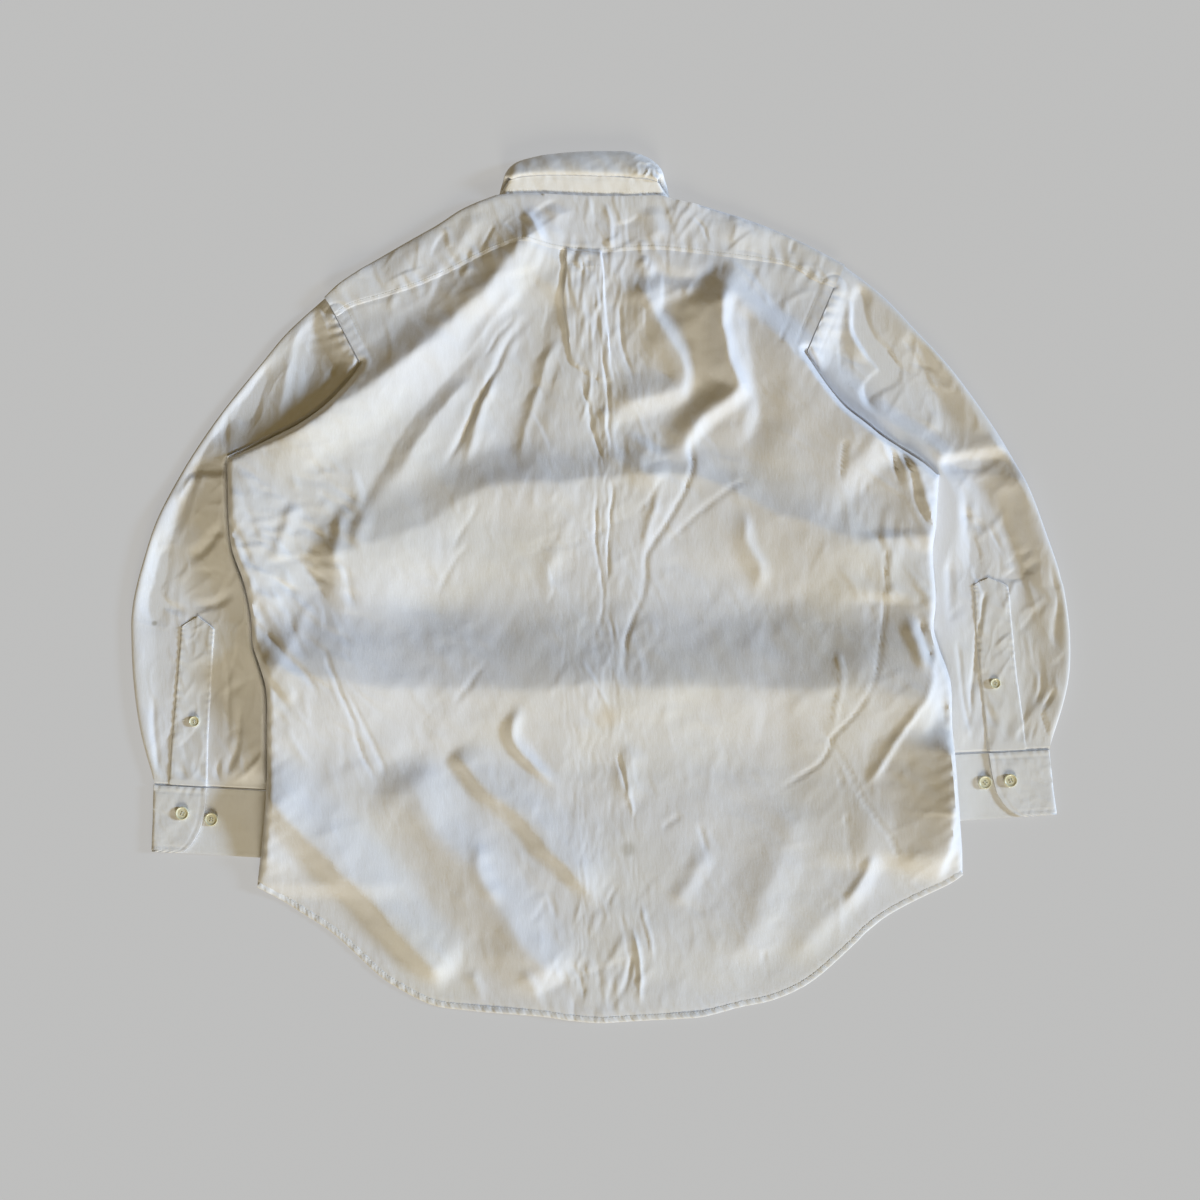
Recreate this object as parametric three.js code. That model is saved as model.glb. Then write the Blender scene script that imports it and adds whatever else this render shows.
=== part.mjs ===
// Long-sleeved button-up shirt laid on its front: back panel, yoke and collar up,
// fronts down, sleeves curving down both sides with their inner edges tucked under
// the body. Millimetres, +Z up, Z = 0 is the surface it lies on, +Y towards the
// collar, X = 0 and Y = 0 at the middle of the outline.
import * as THREE from 'three';

// ---------------------------------------------------------------- sizes
const CLOTH = 1.2;          // wall of one layer of shirting
const BACK_WALL = 1.5;      // back and yoke, measured upright (they slope)
const BAND = 1.6;           // collar parts: two layers and interlining
const CUFF = 1.8;           // cuff wall
const GAP = 0.4;            // room between pieces at a seam
const LAYER = 0.5;          // room between panels lying on each other
const COVER = 4.9;          // how high the fronts ride over the tucked sleeves
const SLEEVE_H = 3.8;       // height of a flattened sleeve at its edges
const BAND_HALF = 17;       // half of the 34 mm front band
const FRONT_BUTTON = { r: 5.6, t: 1.9 };
const CUFF_BUTTON = { r: 6.4, t: 2.2 };
const PLACKET_BUTTON = { r: 5.0, t: 2.0 };
const BAND_Z = FRONT_BUTTON.t + 0.4;             // the buttons lift the front band
const STAND_Z = BAND_Z + CLOTH + GAP;            // the button stand lies on the band
const PLEAT = { l0: -33, l1: -31, r0: 3, r1: 5, h: 2.6, full: 215, gone: 150 };
const NECK_ROOM = 5.6;       // height kept free under the yoke at the neck
const COLLAR_LIFT = 2.4;    // the fronts ride over the collar leaf

// ---------------------------------------------------------------- colours
const WHITE = { color: 0xdcdad3, roughness: 0.86, metalness: 0 };
const CREAM = { color: 0xe2dcb6, roughness: 0.35, metalness: 0 };

// ---------------------------------------------------------------- outlines
const cols = (names, rows) => rows.map(r => Object.fromEntries(names.map((n, i) => [n, r[i]])));

const SHOULDER_L = cols(['x', 'y'], [[-261, 275], [-248, 287], [-226, 302], [-203, 316], [-178, 330], [-153, 344], [-129, 359], [-98, 371.5]]);
const SHOULDER_R = cols(['x', 'y'], [[68, 368], [106, 359], [153, 344], [186, 330], [213, 316], [232, 305.5]]);
const NECK_BACK = cols(['x', 'y'], [[-98, 371.5], [-74, 373], [-34, 371.5], [-8, 370.5], [32, 370.5], [55, 371], [68, 368]]);
const YOKE_SEAM = cols(['x', 'y'], [[-249, 257], [-235, 266], [-202, 276], [-172, 286], [-142, 299], [-114, 313], [-86, 324], [-70, 326], [-54, 323], [-36, 320], [0, 317.5], [29, 319.5], [59, 320], [114, 314], [165, 308], [184, 303], [204, 291], [222, 284.5]]);
// side outlines in three stretches: shoulder seam end to the deepest point of the
// armhole, on to the underarm, and down the side seam to the hem corner
const SIDE_L = {
  arm: cols(['x', 'y'], [[-249, 256.5], [-227, 212]]),
  under: cols(['x', 'y'], [[-227, 212], [-241, 193], [-262, 172], [-284, 156], [-305, 145], [-329, 133], [-352, 122]]),
  side: cols(['x', 'y'], [[-352, 122], [-353, 99], [-350, 44], [-337, 4], [-331, -25], [-329, -53], [-321, -78], [-316, -100], [-316, -146], [-316, -190], [-320, -241], [-325, -284]]),
};
const SIDE_R = {
  arm: cols(['x', 'y'], [[222, 284], [195, 222.4]]),
  under: cols(['x', 'y'], [[195, 222.4], [207, 204], [220, 186], [234, 170], [252, 156], [268, 143], [290, 129], [308, 117], [321, 105]]),
  side: cols(['x', 'y'], [[321, 105], [318, 58], [315, 30], [318, -12], [316, -39], [321, -60], [332, -93], [334, -138], [337, -170], [341, -221], [345, -273]]),
};
const HEM = cols(['x', 'y'], [[-325, -284], [-303, -297], [-281, -311], [-259, -325], [-241, -340], [-211, -368], [-190, -382], [-159, -397], [-124, -402], [-57, -407], [-28, -411], [0, -413], [38, -411], [76, -409], [100, -407], [133, -399], [162, -393], [189, -382], [210, -368], [241, -340], [256, -325], [275, -311], [301, -297], [330, -283], [345, -273]]);
const NECK_FRONT = { cx: -15, cy: 370, rx: 83, drop: 71 };

// large folds of the back: height (minus for a hollow), half width left and right of
// the line, sharpness, share of the length over which each end fades, and the line
const FOLDS = cols(['h', 'wl', 'wr', 's', 't0', 't1', 'line'], [
  [10, 44, 86, 1.25, 0.04, 0.12, [[-274, 24], [-218, 38], [-171, 58], [-131, 81], [-76, 98], [-19, 102], [38, 104], [86, 102], [133, 85], [180, 66], [228, 49], [290, 39]]],
  [15, 89, 80, 1.25, 0.05, 0.05, [[-329, -61], [-285, -82], [-190, -94], [-95, -95], [0, -94], [95, -92], [190, -94], [256, -95], [327, -107]]],
  [5, 42, 57, 1.4, 0.2, 0.2, [[270, 55], [272, 21], [270, -16]]],
  [-3.5, 57, 57, 1.8, 0.1, 0.1, [[-332, -10], [-190, -16], [0, -12], [190, -16], [314, -12]]],
  [6, 59, 22, 1.3, 0.2, 0.2, [[-327, -156], [-331, -211], [-321, -283]]],
  [5, 76, 22, 1.3, 0.25, 0.25, [[-353, 112], [-342, 26], [-327, -50]]],
  [14, 44, 36, 1.15, 0.1, 0.2, [[-52, 354], [-71, 327], [-99, 289], [-127, 262], [-157, 235], [-192, 207], [-238, 176], [-285, 144], [-328, 119]]],
  [-3.8, 22, 49, 1.3, 0.12, 0.2, [[-38, 313], [-84, 267], [-125, 226], [-156, 190], [-182, 152], [-204, 114], [-222, 78], [-242, 38]]],
  [-7, 36, 42, 1.3, 0.12, 0.25, [[-48, 294], [-63, 240], [-72, 183], [-82, 131], [-90, 100]]],
  [8, 22, 42, 1.3, 0.12, 0.2, [[46, 296], [52, 266], [64, 233], [76, 207], [72, 190], [52, 181], [27, 171], [8, 152]]],
  [11, 22, 26, 1.25, 0.12, 0.2, [[117, 289], [113, 258], [119, 226], [131, 191], [116, 174], [95, 159], [80, 138], [73, 112]]],
  [-4.5, 38, 22, 1.4, 0.15, 0.3, [[137, 271], [142, 230], [148, 178], [142, 148], [116, 125]]],
  [13, 32, 128, 1.45, 0.12, 0.12, [[99, 302], [131, 267], [163, 237], [201, 201], [243, 165], [285, 129]]],
  [7.5, 22, 57, 1.35, 0.2, 0.2, [[290, 131], [308, 95], [312, 55], [304, 26]]],
  [5, 28, 25, 1.4, 0.2, 0.3, [[52, 140], [38, 112], [65, 102]]],
  [9.5, 48, 27, 1.3, 0.18, 0.1, [[-294, -219], [-266, -242], [-218, -292], [-171, -347], [-144, -378]]],
  [8, 44, 40, 1.35, 0.15, 0.1, [[-195, -164], [-166, -209], [-138, -249], [-104, -293], [-74, -333], [-38, -378]]],
  [7, 40, 22, 1.2, 0.12, 0.2, [[-142, -152], [-109, -188], [-71, -223], [-33, -261], [0, -304]]],
  [14, 22, 80, 1.3, 0.16, 0.16, [[334, -133], [332, -183], [332, -238], [317, -287]]],
  [2.5, 25, 25, 1.3, 0.2, 0.15, [[268, -194], [251, -247], [234, -287], [207, -325], [179, -361]]],
  [5.5, 34, 25, 1.4, 0.2, 0.15, [[190, -202], [169, -259], [150, -311], [129, -361]]],
  [3.4, 22, 25, 1.4, 0.25, 0.2, [[-236, 85], [-222, 64], [-236, 38]]],
]);
const DISH = 7.0;             // how much the two sides stand above the middle
const LOFT = 3.2;             // how far the middle of the cloth stands off
const FLAT = 1.3;             // how softly hollows come to rest on the layers under them

// sleeves: outer edge on the outline, inner edge under the body, edges of the cuff
// placket as shares of the width, and how far the top layer stands up
const SLEEVE_L = cols(['ox', 'oy', 'ix', 'iy', 'pl', 'pr', 'puff'], [
  [-261.5, 274.8, -227.6, 211.8, null, null, 0.4],
  [-296, 243, -226, 196, null, null, 3.0],
  [-322, 212, -232, 172, null, null, 6.0],
  [-350, 178, -243, 150, null, null, 8.0],
  [-375, 144, -258, 122, null, null, 9.0],
  [-399, 106, -272, 94, null, null, 8.5],
  [-420, 64, -287, 66, null, null, 7.5],
  [-434, 22, -294, 34, null, null, 6.0],
  [-441, -4, -298, -8, null, null, 4.5],
  [-444, -22, -299, -34, .322, .54, 4.0],
  [-445, -40, -300, -49, .324, .545, 3.6],
  [-443, -88, -301, -92, .292, .518, 3.4],
  [-436, -138, -304, -141, .227, .485, 3.2],
  [-423, -185.5, -311, -191.5, .130, .446, 2.2],
]);
const SLEEVE_R = cols(['ox', 'oy', 'ix', 'iy', 'pl', 'pr', 'puff'], [
  [232.5, 305.2, 195.6, 222.2, null, null, 0.4],
  [268, 277, 196, 205, null, null, 3.0],
  [300, 243, 203, 182, null, null, 6.5],
  [330, 210, 214, 160, null, null, 9.0],
  [358, 173, 230, 138, null, null, 9.0],
  [384, 134, 248, 112, null, null, 8.5],
  [406, 92, 266, 88, null, null, 7.5],
  [424, 45, 283, 52, null, null, 6.0],
  [433, 20, 290, 24, null, null, 5.0],
  [436, 9, 290, 10, .345, .575, 4.5],
  [440, -6, 290, 0, .345, .568, 4.2],
  [445, -47, 295, -42, .353, .583, 3.8],
  [443, -92, 305, -88, .336, .587, 3.2],
  [427, -152, 319, -157, .213, .546, 2.2],
]);
const PLACKET_FROM = 9;     // section where each placket's point is

const CUFF_L = cols(['ox', 'oy', 'ix', 'iy', 'flap'], [
  [-424.5, -187.5, -308, -194, 51], [-425, -206, -308, -213, 50], [-425.5, -226, -308, -233, 46], [-426.5, -250.5, -309, -257.5, 34],
]);
const CUFF_R = cols(['ox', 'oy', 'ix', 'iy', 'flap'], [
  [427, -154.2, 318, -160, 58], [429.5, -176, 320, -182, 57], [431.5, -195, 322, -202, 53], [434.5, -215.5, 324, -223, 41],
]);

// buttons that show: x, y and what they are sewn to
const BUTTONS = cols(['name', 'x', 'y', 'size', 'on'], [
  ['cuff_button_l1', -396, -214, CUFF_BUTTON, 'flap'],
  ['cuff_button_l2', -369, -220, CUFF_BUTTON, 'cuff'],
  ['placket_button_l', -385, -127, PLACKET_BUTTON, 'placket_l'],
  ['cuff_button_r1', 389, -183, CUFF_BUTTON, 'flap'],
  ['cuff_button_r2', 365.5, -185, CUFF_BUTTON, 'cuff'],
  ['placket_button_r', 375, -91, PLACKET_BUTTON, 'placket_r'],
]);
const FRONT_BUTTONS = { y0: 268, step: -88, n: 7 };
const STATIONS = 22;         // sections round the collar
const midX = y => -15 + 22 * (300 - y) / 710;        // middle of the front, a little askew
// ---------------------------------------------------------------- helpers
const clamp = THREE.MathUtils.clamp;
const lerp = THREE.MathUtils.lerp;
const smooth = t => { t = clamp(t, 0, 1); return t * t * (3 - 2 * t); };

// point at fraction t of a polyline's length
function along(line, t) {
  const len = [0];
  for (let i = 1; i < line.length; i++) len.push(len[i - 1] + Math.hypot(line[i].x - line[i - 1].x, line[i].y - line[i - 1].y));
  const d = clamp(t, 0, 1) * len[len.length - 1];
  let i = 1;
  while (i < line.length - 1 && len[i] < d) i++;
  const f = (d - len[i - 1]) / (len[i] - len[i - 1]);
  return { x: lerp(line[i - 1].x, line[i].x, f), y: lerp(line[i - 1].y, line[i].y, f) };
}
// y of a left-to-right polyline at x
function at(line, x) {
  let i = 1;
  while (i < line.length - 1 && line[i].x < x) i++;
  const f = clamp((x - line[i - 1].x) / (line[i].x - line[i - 1].x), 0, 1);
  return lerp(line[i - 1].y, line[i].y, f);
}
// x of a sleeve's hidden edge at y
function innerX(table, cuff, y) {
  const pts = table.map(r => [r.iy, r.ix]).concat(cuff.map(r => [r.iy, r.ix]));
  if (y >= pts[0][0]) return pts[0][1];
  for (let i = 1; i < pts.length; i++) if (y >= pts[i][0]) {
    const f = (y - pts[i][0]) / (pts[i - 1][0] - pts[i][0]);
    return lerp(pts[i][1], pts[i - 1][1], f);
  }
  return pts[pts.length - 1][1];
}
function toLine(px, py, line) {          // distance to a polyline and the share along it
  let best = { d: 1e9, t: 0 }, total = 0, run = 0;
  for (let i = 1; i < line.length; i++) total += Math.hypot(line[i][0] - line[i - 1][0], line[i][1] - line[i - 1][1]);
  for (let i = 1; i < line.length; i++) {
    const [ax, ay] = line[i - 1], [bx, by] = line[i];
    const l = Math.hypot(bx - ax, by - ay);
    const f = clamp(((px - ax) * (bx - ax) + (py - ay) * (by - ay)) / (l * l), 0, 1);
    const d = Math.hypot(px - lerp(ax, bx, f), py - lerp(ay, by, f));
    if (d < best.d) best = { d, t: (run + f * l) / total, left: (bx - ax) * (py - ay) > (by - ay) * (px - ax) };
    run += l;
  }
  return best;
}

// closed body between two grids of points: P one face, Q the other. wrap joins the
// last column to the first
function slab(P, Q, wrap = false) {
  const n = P.length, m = P[0].length, pos = [], idx = [];
  for (const G of [P, Q]) for (const row of G) for (const p of row) pos.push(p.x, p.y, p.z);
  const id = (g, i, j) => g * n * m + ((i + n) % n) * m + j;
  const quad = (a, b, c, d) => idx.push(a, b, c, a, c, d);
  const last = wrap ? n : n - 1;
  for (let i = 0; i < last; i++) for (let j = 0; j < m - 1; j++) {
    quad(id(0, i, j), id(0, i + 1, j), id(0, i + 1, j + 1), id(0, i, j + 1));
    quad(id(1, i, j), id(1, i, j + 1), id(1, i + 1, j + 1), id(1, i + 1, j));
  }
  for (let i = 0; i < last; i++) {
    quad(id(0, i, 0), id(1, i, 0), id(1, i + 1, 0), id(0, i + 1, 0));
    quad(id(0, i, m - 1), id(0, i + 1, m - 1), id(1, i + 1, m - 1), id(1, i, m - 1));
  }
  if (!wrap) for (let j = 0; j < m - 1; j++) {
    quad(id(0, 0, j), id(0, 0, j + 1), id(1, 0, j + 1), id(1, 0, j));
    quad(id(0, n - 1, j), id(1, n - 1, j), id(1, n - 1, j + 1), id(0, n - 1, j + 1));
  }
  let vol = 0;
  for (let k = 0; k < idx.length; k += 3) {
    const [a, b, c] = [0, 1, 2].map(q => idx[k + q] * 3);
    vol += pos[a] * (pos[b + 1] * pos[c + 2] - pos[b + 2] * pos[c + 1])
      + pos[a + 1] * (pos[b + 2] * pos[c] - pos[b] * pos[c + 2])
      + pos[a + 2] * (pos[b] * pos[c + 1] - pos[b + 1] * pos[c]);
  }
  if (vol < 0) for (let k = 0; k < idx.length; k += 3) [idx[k + 1], idx[k + 2]] = [idx[k + 2], idx[k + 1]];
  const g = new THREE.BufferGeometry();
  g.setAttribute('position', new THREE.Float32BufferAttribute(pos, 3));
  g.setIndex(idx);
  g.computeVertexNormals();
  return g;
}
const V = (x, y, z) => new THREE.Vector3(x, y, z);

// centre line in (s, z) turned into a wall: two offset lines
function wall(line, t) {
  return line.map((p, i) => {
    const a = line[Math.max(0, i - 1)], b = line[Math.min(line.length - 1, i + 1)];
    const l = Math.hypot(b[0] - a[0], b[1] - a[1]);
    const nx = -(b[1] - a[1]) / l, nz = (b[0] - a[0]) / l;
    return { p: [p[0] + nx * t / 2, p[1] + nz * t / 2], q: [p[0] - nx * t / 2, p[1] - nz * t / 2] };
  });
}

const shirt = new THREE.Group();
function add(name, geometry, look) {
  const mesh = new THREE.Mesh(geometry, new THREE.MeshStandardMaterial(look));
  mesh.name = name;
  shirt.add(mesh);
  return mesh;
}

// ---------------------------------------------------------------- heights
// how much the fronts are lifted at the side edge
const sideLift = (left, y, more = 0) => left
  ? COVER * smooth((266 - y) / 46) * smooth((y + 286 + more) / 20)
  : COVER * smooth((296 - y) / 56) * smooth((y + 258 + more) / 22);
const collarLift = (x, y, spread) => COLLAR_LIFT
  * smooth((y - 224 + spread) / 16)
  * smooth((120 + spread - Math.abs(x + 15)) / 16);
// lowest height the back may take over everything below it
function backFloor(x, y) {
  const left = sideLift(true, y, 12) * smooth((innerX(SLEEVE_L, CUFF_L, y) + 150 - x) / 100);
  const right = sideLift(false, y, 12) * smooth((x - innerX(SLEEVE_R, CUFF_R, y) + 150) / 100);
  const centre = STAND_Z * smooth((150 - Math.abs(x - midX(y))) / 112);
  const collar = COLLAR_LIFT * smooth((y - 150) / 60) * smooth((190 - Math.abs(x + 15)) / 80);
  const neck = NECK_ROOM * smooth((y - 235) / 50) * smooth((190 - Math.abs(x + 15)) / 92);
  return Math.max(left, right, centre, collar, neck) + CLOTH + LAYER;
}
function foldHeight(x, y) {
  let z = 0;
  for (const f of FOLDS) {
    const c = toLine(x, y, f.line), q = c.d / (c.left ? f.wl : f.wr);
    if (q < 1) z += f.h * (1 - q ** f.s) ** 2 * smooth(c.t / f.t0) * smooth((1 - c.t) / f.t1);
  }
  return z;
}

const SIDE_LINES = [SIDE_L, SIDE_R].map(s => [...s.under, ...s.side.slice(1)].map(p => [p.x, p.y]));
const HEM_LINE = HEM.map(p => [p.x, p.y]);
// height of the back and yoke above the layers under them
function relief(x, y) {
  const edge = Math.min(...SIDE_LINES.map(l => toLine(x, y, l).d)), hem = toLine(x, y, HEM_LINE).d;
  const rim = smooth(edge / 12 + .25) * smooth(hem / 42 + .1);
  const loft = LOFT * (.5 + .5 * smooth(edge / 5)) * smooth(hem / 80 + .04) * (.45 + .55 * smooth((330 - y) / 50));
  const dish = 3.5 * smooth(1 - edge / 60) * smooth((y + 300) / 40) * smooth((200 - y) / 80)
    + DISH * (Math.hypot(x, 40) - 40) / 300 * smooth(hem / 90);
  const z = loft + dish + foldHeight(x, y) * rim;
  const round = .1 + .9 * Math.sqrt(1 - (1 - clamp(edge / 7, 0, 1)) ** 2);
  return FLAT * Math.log1p(Math.exp(z / FLAT)) * round;
}

// ---------------------------------------------------------------- back
const rowsOf = (side, n) => {
  const out = [];
  for (let k = 0; k < n[0]; k++) out.push(along(side.arm, k / n[0]));
  for (let k = 0; k < n[1]; k++) out.push(along(side.under, k / n[1]));
  for (let k = 0; k <= n[2]; k++) out.push(along(side.side, k / n[2]));
  return out;
};
// patch spanned by left and right rows, a top line and a bottom line
function patch(L, R, top, bottom, us) {
  const n = L.length - 1;
  return L.map((l, k) => {
    const r = R[k], v = k / n;
    return us(k, l, r).map(u => {
      const t = top(lerp(L[0].x, R[0].x, u)), b = bottom(lerp(L[n].x, R[n].x, u));
      const lin = (c) => lerp(l[c], r[c], u)
        + (1 - v) * (t[c] - lerp(L[0][c], R[0][c], u)) + v * (b[c] - lerp(L[n][c], R[n][c], u));
      return { x: lin('x'), y: lin('y'), u, v };
    });
  });
}
const seamX = u => lerp(SIDE_L.arm[0].x, SIDE_R.arm[0].x, u);
const uOf = x => (x - SIDE_L.arm[0].x) / (SIDE_R.arm[0].x - SIDE_L.arm[0].x);
const COLUMNS = [];              // closer together at the pleat's edges
for (let i = 0; i <= 13; i++) COLUMNS.push(uOf(PLEAT.l0) * i / 13);
COLUMNS.push(uOf(PLEAT.l1), uOf(-14), uOf(PLEAT.r0));
for (let i = 0; i <= 14; i++) COLUMNS.push(lerp(uOf(PLEAT.r1), 1, i / 14));
{
  const L = rowsOf(SIDE_L, [3, 7, 18]), R = rowsOf(SIDE_R, [3, 7, 18]);
  const grid = patch(L, R, x => ({ x, y: at(YOKE_SEAM, x) - GAP }), x => ({ x, y: at(HEM, x) }), () => COLUMNS);
  const P = [], Q = [];
  grid.forEach(row => {
    const p = [], q = [];
    row.forEach(g => {
      const inPleat = g.u > uOf(PLEAT.l0) + 1e-6 && g.u < uOf(PLEAT.r1) - 1e-6;
      const pleat = inPleat ? PLEAT.h * smooth((g.y - PLEAT.gone) / (PLEAT.full - PLEAT.gone)) : 0;
      const z = backFloor(g.x, g.y) + relief(g.x, g.y) + pleat;
      p.push(V(g.x, g.y, z + BACK_WALL));
      q.push(V(g.x, g.y, z));
    });
    P.push(p); Q.push(q);
  });
  add('back', slab(P, Q), WHITE);
}

// ---------------------------------------------------------------- yoke
{
  const outline = [...SHOULDER_L, ...NECK_BACK.slice(1), ...SHOULDER_R.slice(1)];
  const M = 3, P = [], Q = [];
  for (const u of COLUMNS) {
    const t = along(outline, u), bx = seamX(u);
    const b = { x: bx, y: at(YOKE_SEAM, bx) };
    const p = [], q = [];
    for (let j = 0; j <= M; j++) {
      const x = lerp(t.x, b.x, j / M), y = lerp(t.y, b.y, j / M);
      const rim = smooth(j / M * 2) * smooth(Math.min(u, 1 - u) * 10);
      const z = backFloor(x, y) + relief(x, y) * (.3 + .7 * rim) + .9 * Math.abs(Math.sin(u * 17 + 1)) * rim;
      p.push(V(x, y, z + BACK_WALL)); q.push(V(x, y, z));
    }
    P.push(p); Q.push(q);
  }
  add('yoke', slab(P, Q), WHITE);
}

// ---------------------------------------------------------------- fronts
const neckY = x => NECK_FRONT.cy - NECK_FRONT.drop * Math.sqrt(Math.max(0, 1 - ((x - NECK_FRONT.cx) / NECK_FRONT.rx) ** 2)) - GAP;
const neckStations = [];         // x of the collar's sections at the front
for (let i = 1; i <= 5; i++) neckStations.push(NECK_FRONT.rx * Math.sin(2 * Math.PI * i / STATIONS));
function front(left) {
  const S = left ? SIDE_L : SIDE_R, sgn = left ? 1 : -1;
  const shoulder = left ? SHOULDER_L[0] : SHOULDER_R[SHOULDER_R.length - 1];
  const side = [shoulder, ...rowsOf(S, [3, 7, 18])], n = side.length - 1;
  const edge = left ? -BAND_HALF - GAP : -BAND_HALF + 1;      // finished edge, from the middle
  const yTop = neckY(midX(300) + edge);
  const mid = side.map((_, k) => {
    const y = lerp(yTop, at(HEM, midX(-410) + edge), k / n);
    return { x: midX(y) + edge, y };
  });
  const topAt = x => ({ x, y: left
    ? (x < -97.5 ? at(SHOULDER_L, x) : neckY(x))
    : (x > 67.5 ? at(SHOULDER_R, x) : neckY(x)) });
  const neck = neckStations.map(d => NECK_FRONT.cx - sgn * d).reverse();
  const us = (k, l, r) => {
    const inner = innerX(left ? SLEEVE_L : SLEEVE_R, left ? CUFF_L : CUFF_R, l.y), m = r.x - edge;
    const f = x => (x - l.x) / (r.x - l.x);
    const a = Math.max(.03, f(inner + sgn * 9)), b = Math.max(a + .06, f(inner + sgn * 44));
    const c = f(m - sgn * 52), o = [];
    for (let i = 1; i <= 4; i++) o.push(lerp(b, c, i / 5));
    o.push(c, f(m - sgn * 22));
    if (!left) o.push(f(m + BAND_HALF), f(m));
    const top = neck.slice(0, left ? 5 : 4).map(f);
    if (left) top.push(f(m - 22)); else top.push(f(20), f(neck[4]), f(3), f(m));
    const w = smooth(k / 8);
    return [0, a, b, ...o.map((u, i) => lerp(top[i], u, w)), 1];
  };
  const grid = patch(side, mid, topAt, x => ({ x, y: at(HEM, x) + 2 }), us);
  const P = [], Q = [];
  grid.forEach(row => {
    const p = [], q = [];
    row.forEach((g, i) => {
      let z = 0;
      if (i < 2) z = sideLift(left, g.y);
      if (i > 7) z = left ? BAND_Z : STAND_Z;
      z = Math.max(z, collarLift(g.x, g.y, 0));
      p.push(V(g.x, g.y, z + CLOTH)); q.push(V(g.x, g.y, z));
    });
    P.push(p); Q.push(q);
  });
  return slab(P, Q);
}
add('front_left', front(true), WHITE);
add('front_right', front(false), WHITE);
{
  const P = [], Q = [], N = 10, y0 = neckY(midX(300)) - .4, y1 = at(HEM, 0) + 2;
  for (let k = 0; k <= N; k++) {
    const y = lerp(y0, y1, k / N), x = midX(y);
    P.push([V(x - BAND_HALF, y, BAND_Z + CLOTH), V(x + BAND_HALF, y, BAND_Z + CLOTH)]);
    Q.push([V(x - BAND_HALF, y, BAND_Z), V(x + BAND_HALF, y, BAND_Z)]);
  }
  add('front_band', slab(P, Q), WHITE);
}

// ---------------------------------------------------------------- sleeves
// share of each section that shows before it goes under the body
const edgeX = (left, y) => {
  const line = left ? [...SIDE_L.arm, ...SIDE_L.under, ...SIDE_L.side] : [...SIDE_R.arm, ...SIDE_R.under, ...SIDE_R.side];
  if (y > line[0].y) return line[0].x;
  for (let i = 1; i < line.length; i++) if (y >= line[i].y) {
    const f = (y - line[i].y) / Math.max(1e-6, line[i - 1].y - line[i].y);
    return lerp(line[i].x, line[i - 1].x, f);
  }
  return line[line.length - 1].x;
};
const shown = (r, left) => {
  for (let f = 0; f <= 1; f += .005) {
    const x = lerp(r.ox, r.ix, f), e = edgeX(left, lerp(r.oy, r.iy, f));
    if (left ? x >= e : x <= e) return f;
  }
  return 1;
};
for (const [table, left] of [[SLEEVE_L, true], [SLEEVE_R, false]]) {
  const between = (a, b, t) => shown(Object.fromEntries(['ox', 'oy', 'ix', 'iy'].map(c => [c, lerp(a[c], b[c], t)])), left);
  table.forEach((r, k) => {
    r.shown = shown(r, left);
    if (r.pl === null) { r.pl = .34 * r.shown; r.pr = .84 * r.shown - .02; }
    r.free = r.shown;                       // least share that shows up to the next sections
    for (const o of [table[k - 1], table[k + 1]]) if (o) for (const t of [.25, .5, .75, 1]) r.free = Math.min(r.free, between(r, o, t));
    r.free -= .05;
  });
}
// height of a sleeve's top layer at fraction f from its outer edge
const sleeveTop = (row, f) => SLEEVE_H + row.puff * smooth(f / .13) * smooth((row.free - f) / .16);
function sleeve(table) {
  const fs = r => [.045, r.pl, (r.pl + r.pr) / 2, r.pr, Math.max(r.shown - .03, r.pr + .03), lerp(r.shown, .97, .5), .975];
  const P = [], Q = [];
  table.forEach(r => {
    const w = Math.hypot(r.ix - r.ox, r.iy - r.oy);
    const put = (s, z) => V(lerp(r.ox, r.ix, s / w), lerp(r.oy, r.iy, s / w), z);
    const p = [], q = [];
    const mid = SLEEVE_H / 2, t = CLOTH;
    p.push(put(0, mid)); q.push(put(t * 1.2, mid));
    fs(r).forEach(f => { p.push(put(f * w, sleeveTop(r, f))); q.push(put(f * w, sleeveTop(r, f) - t)); });
    p.push(put(w, mid)); q.push(put(w - t * 1.2, mid));
    [.965, .65, .35, .045].forEach(f => { p.push(put(f * w, 0)); q.push(put(f * w, t)); });
    P.push(p); Q.push(q);
  });
  // columns run round the sleeve
  const flip = G => G[0].map((_, i) => G.map(row => row[i]));
  return slab(flip(P), flip(Q), true);
}
add('sleeve_left', sleeve(SLEEVE_L), WHITE);
add('sleeve_right', sleeve(SLEEVE_R), WHITE);

// placket on each sleeve: the sleeve's own points moved up
function placket(table) {
  const P = [], Q = [];
  table.slice(PLACKET_FROM).forEach((r, k) => {
    const m = (r.pl + r.pr) / 2, w = k === 0 ? .06 : 1;
    const p = [], q = [];
    [lerp(m, r.pl, w), m, lerp(m, r.pr, w)].forEach(f => {
      const x = lerp(r.ox, r.ix, f), y = lerp(r.oy, r.iy, f);
      const edge = f === m ? f : (f < m ? r.pl : r.pr), z0 = sleeveTop(r, m);
      const z = lerp(z0, sleeveTop(r, edge), w) + GAP;
      p.push(V(x, y, z + CLOTH)); q.push(V(x, y, f === m ? z0 + GAP : z));
      if (f === m) p[p.length - 1].z = z0 + GAP + CLOTH;
    });
    P.push(p); Q.push(q);
  });
  return slab(P, Q);
}
add('placket_left', placket(SLEEVE_L), WHITE);
add('placket_right', placket(SLEEVE_R), WHITE);

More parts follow.
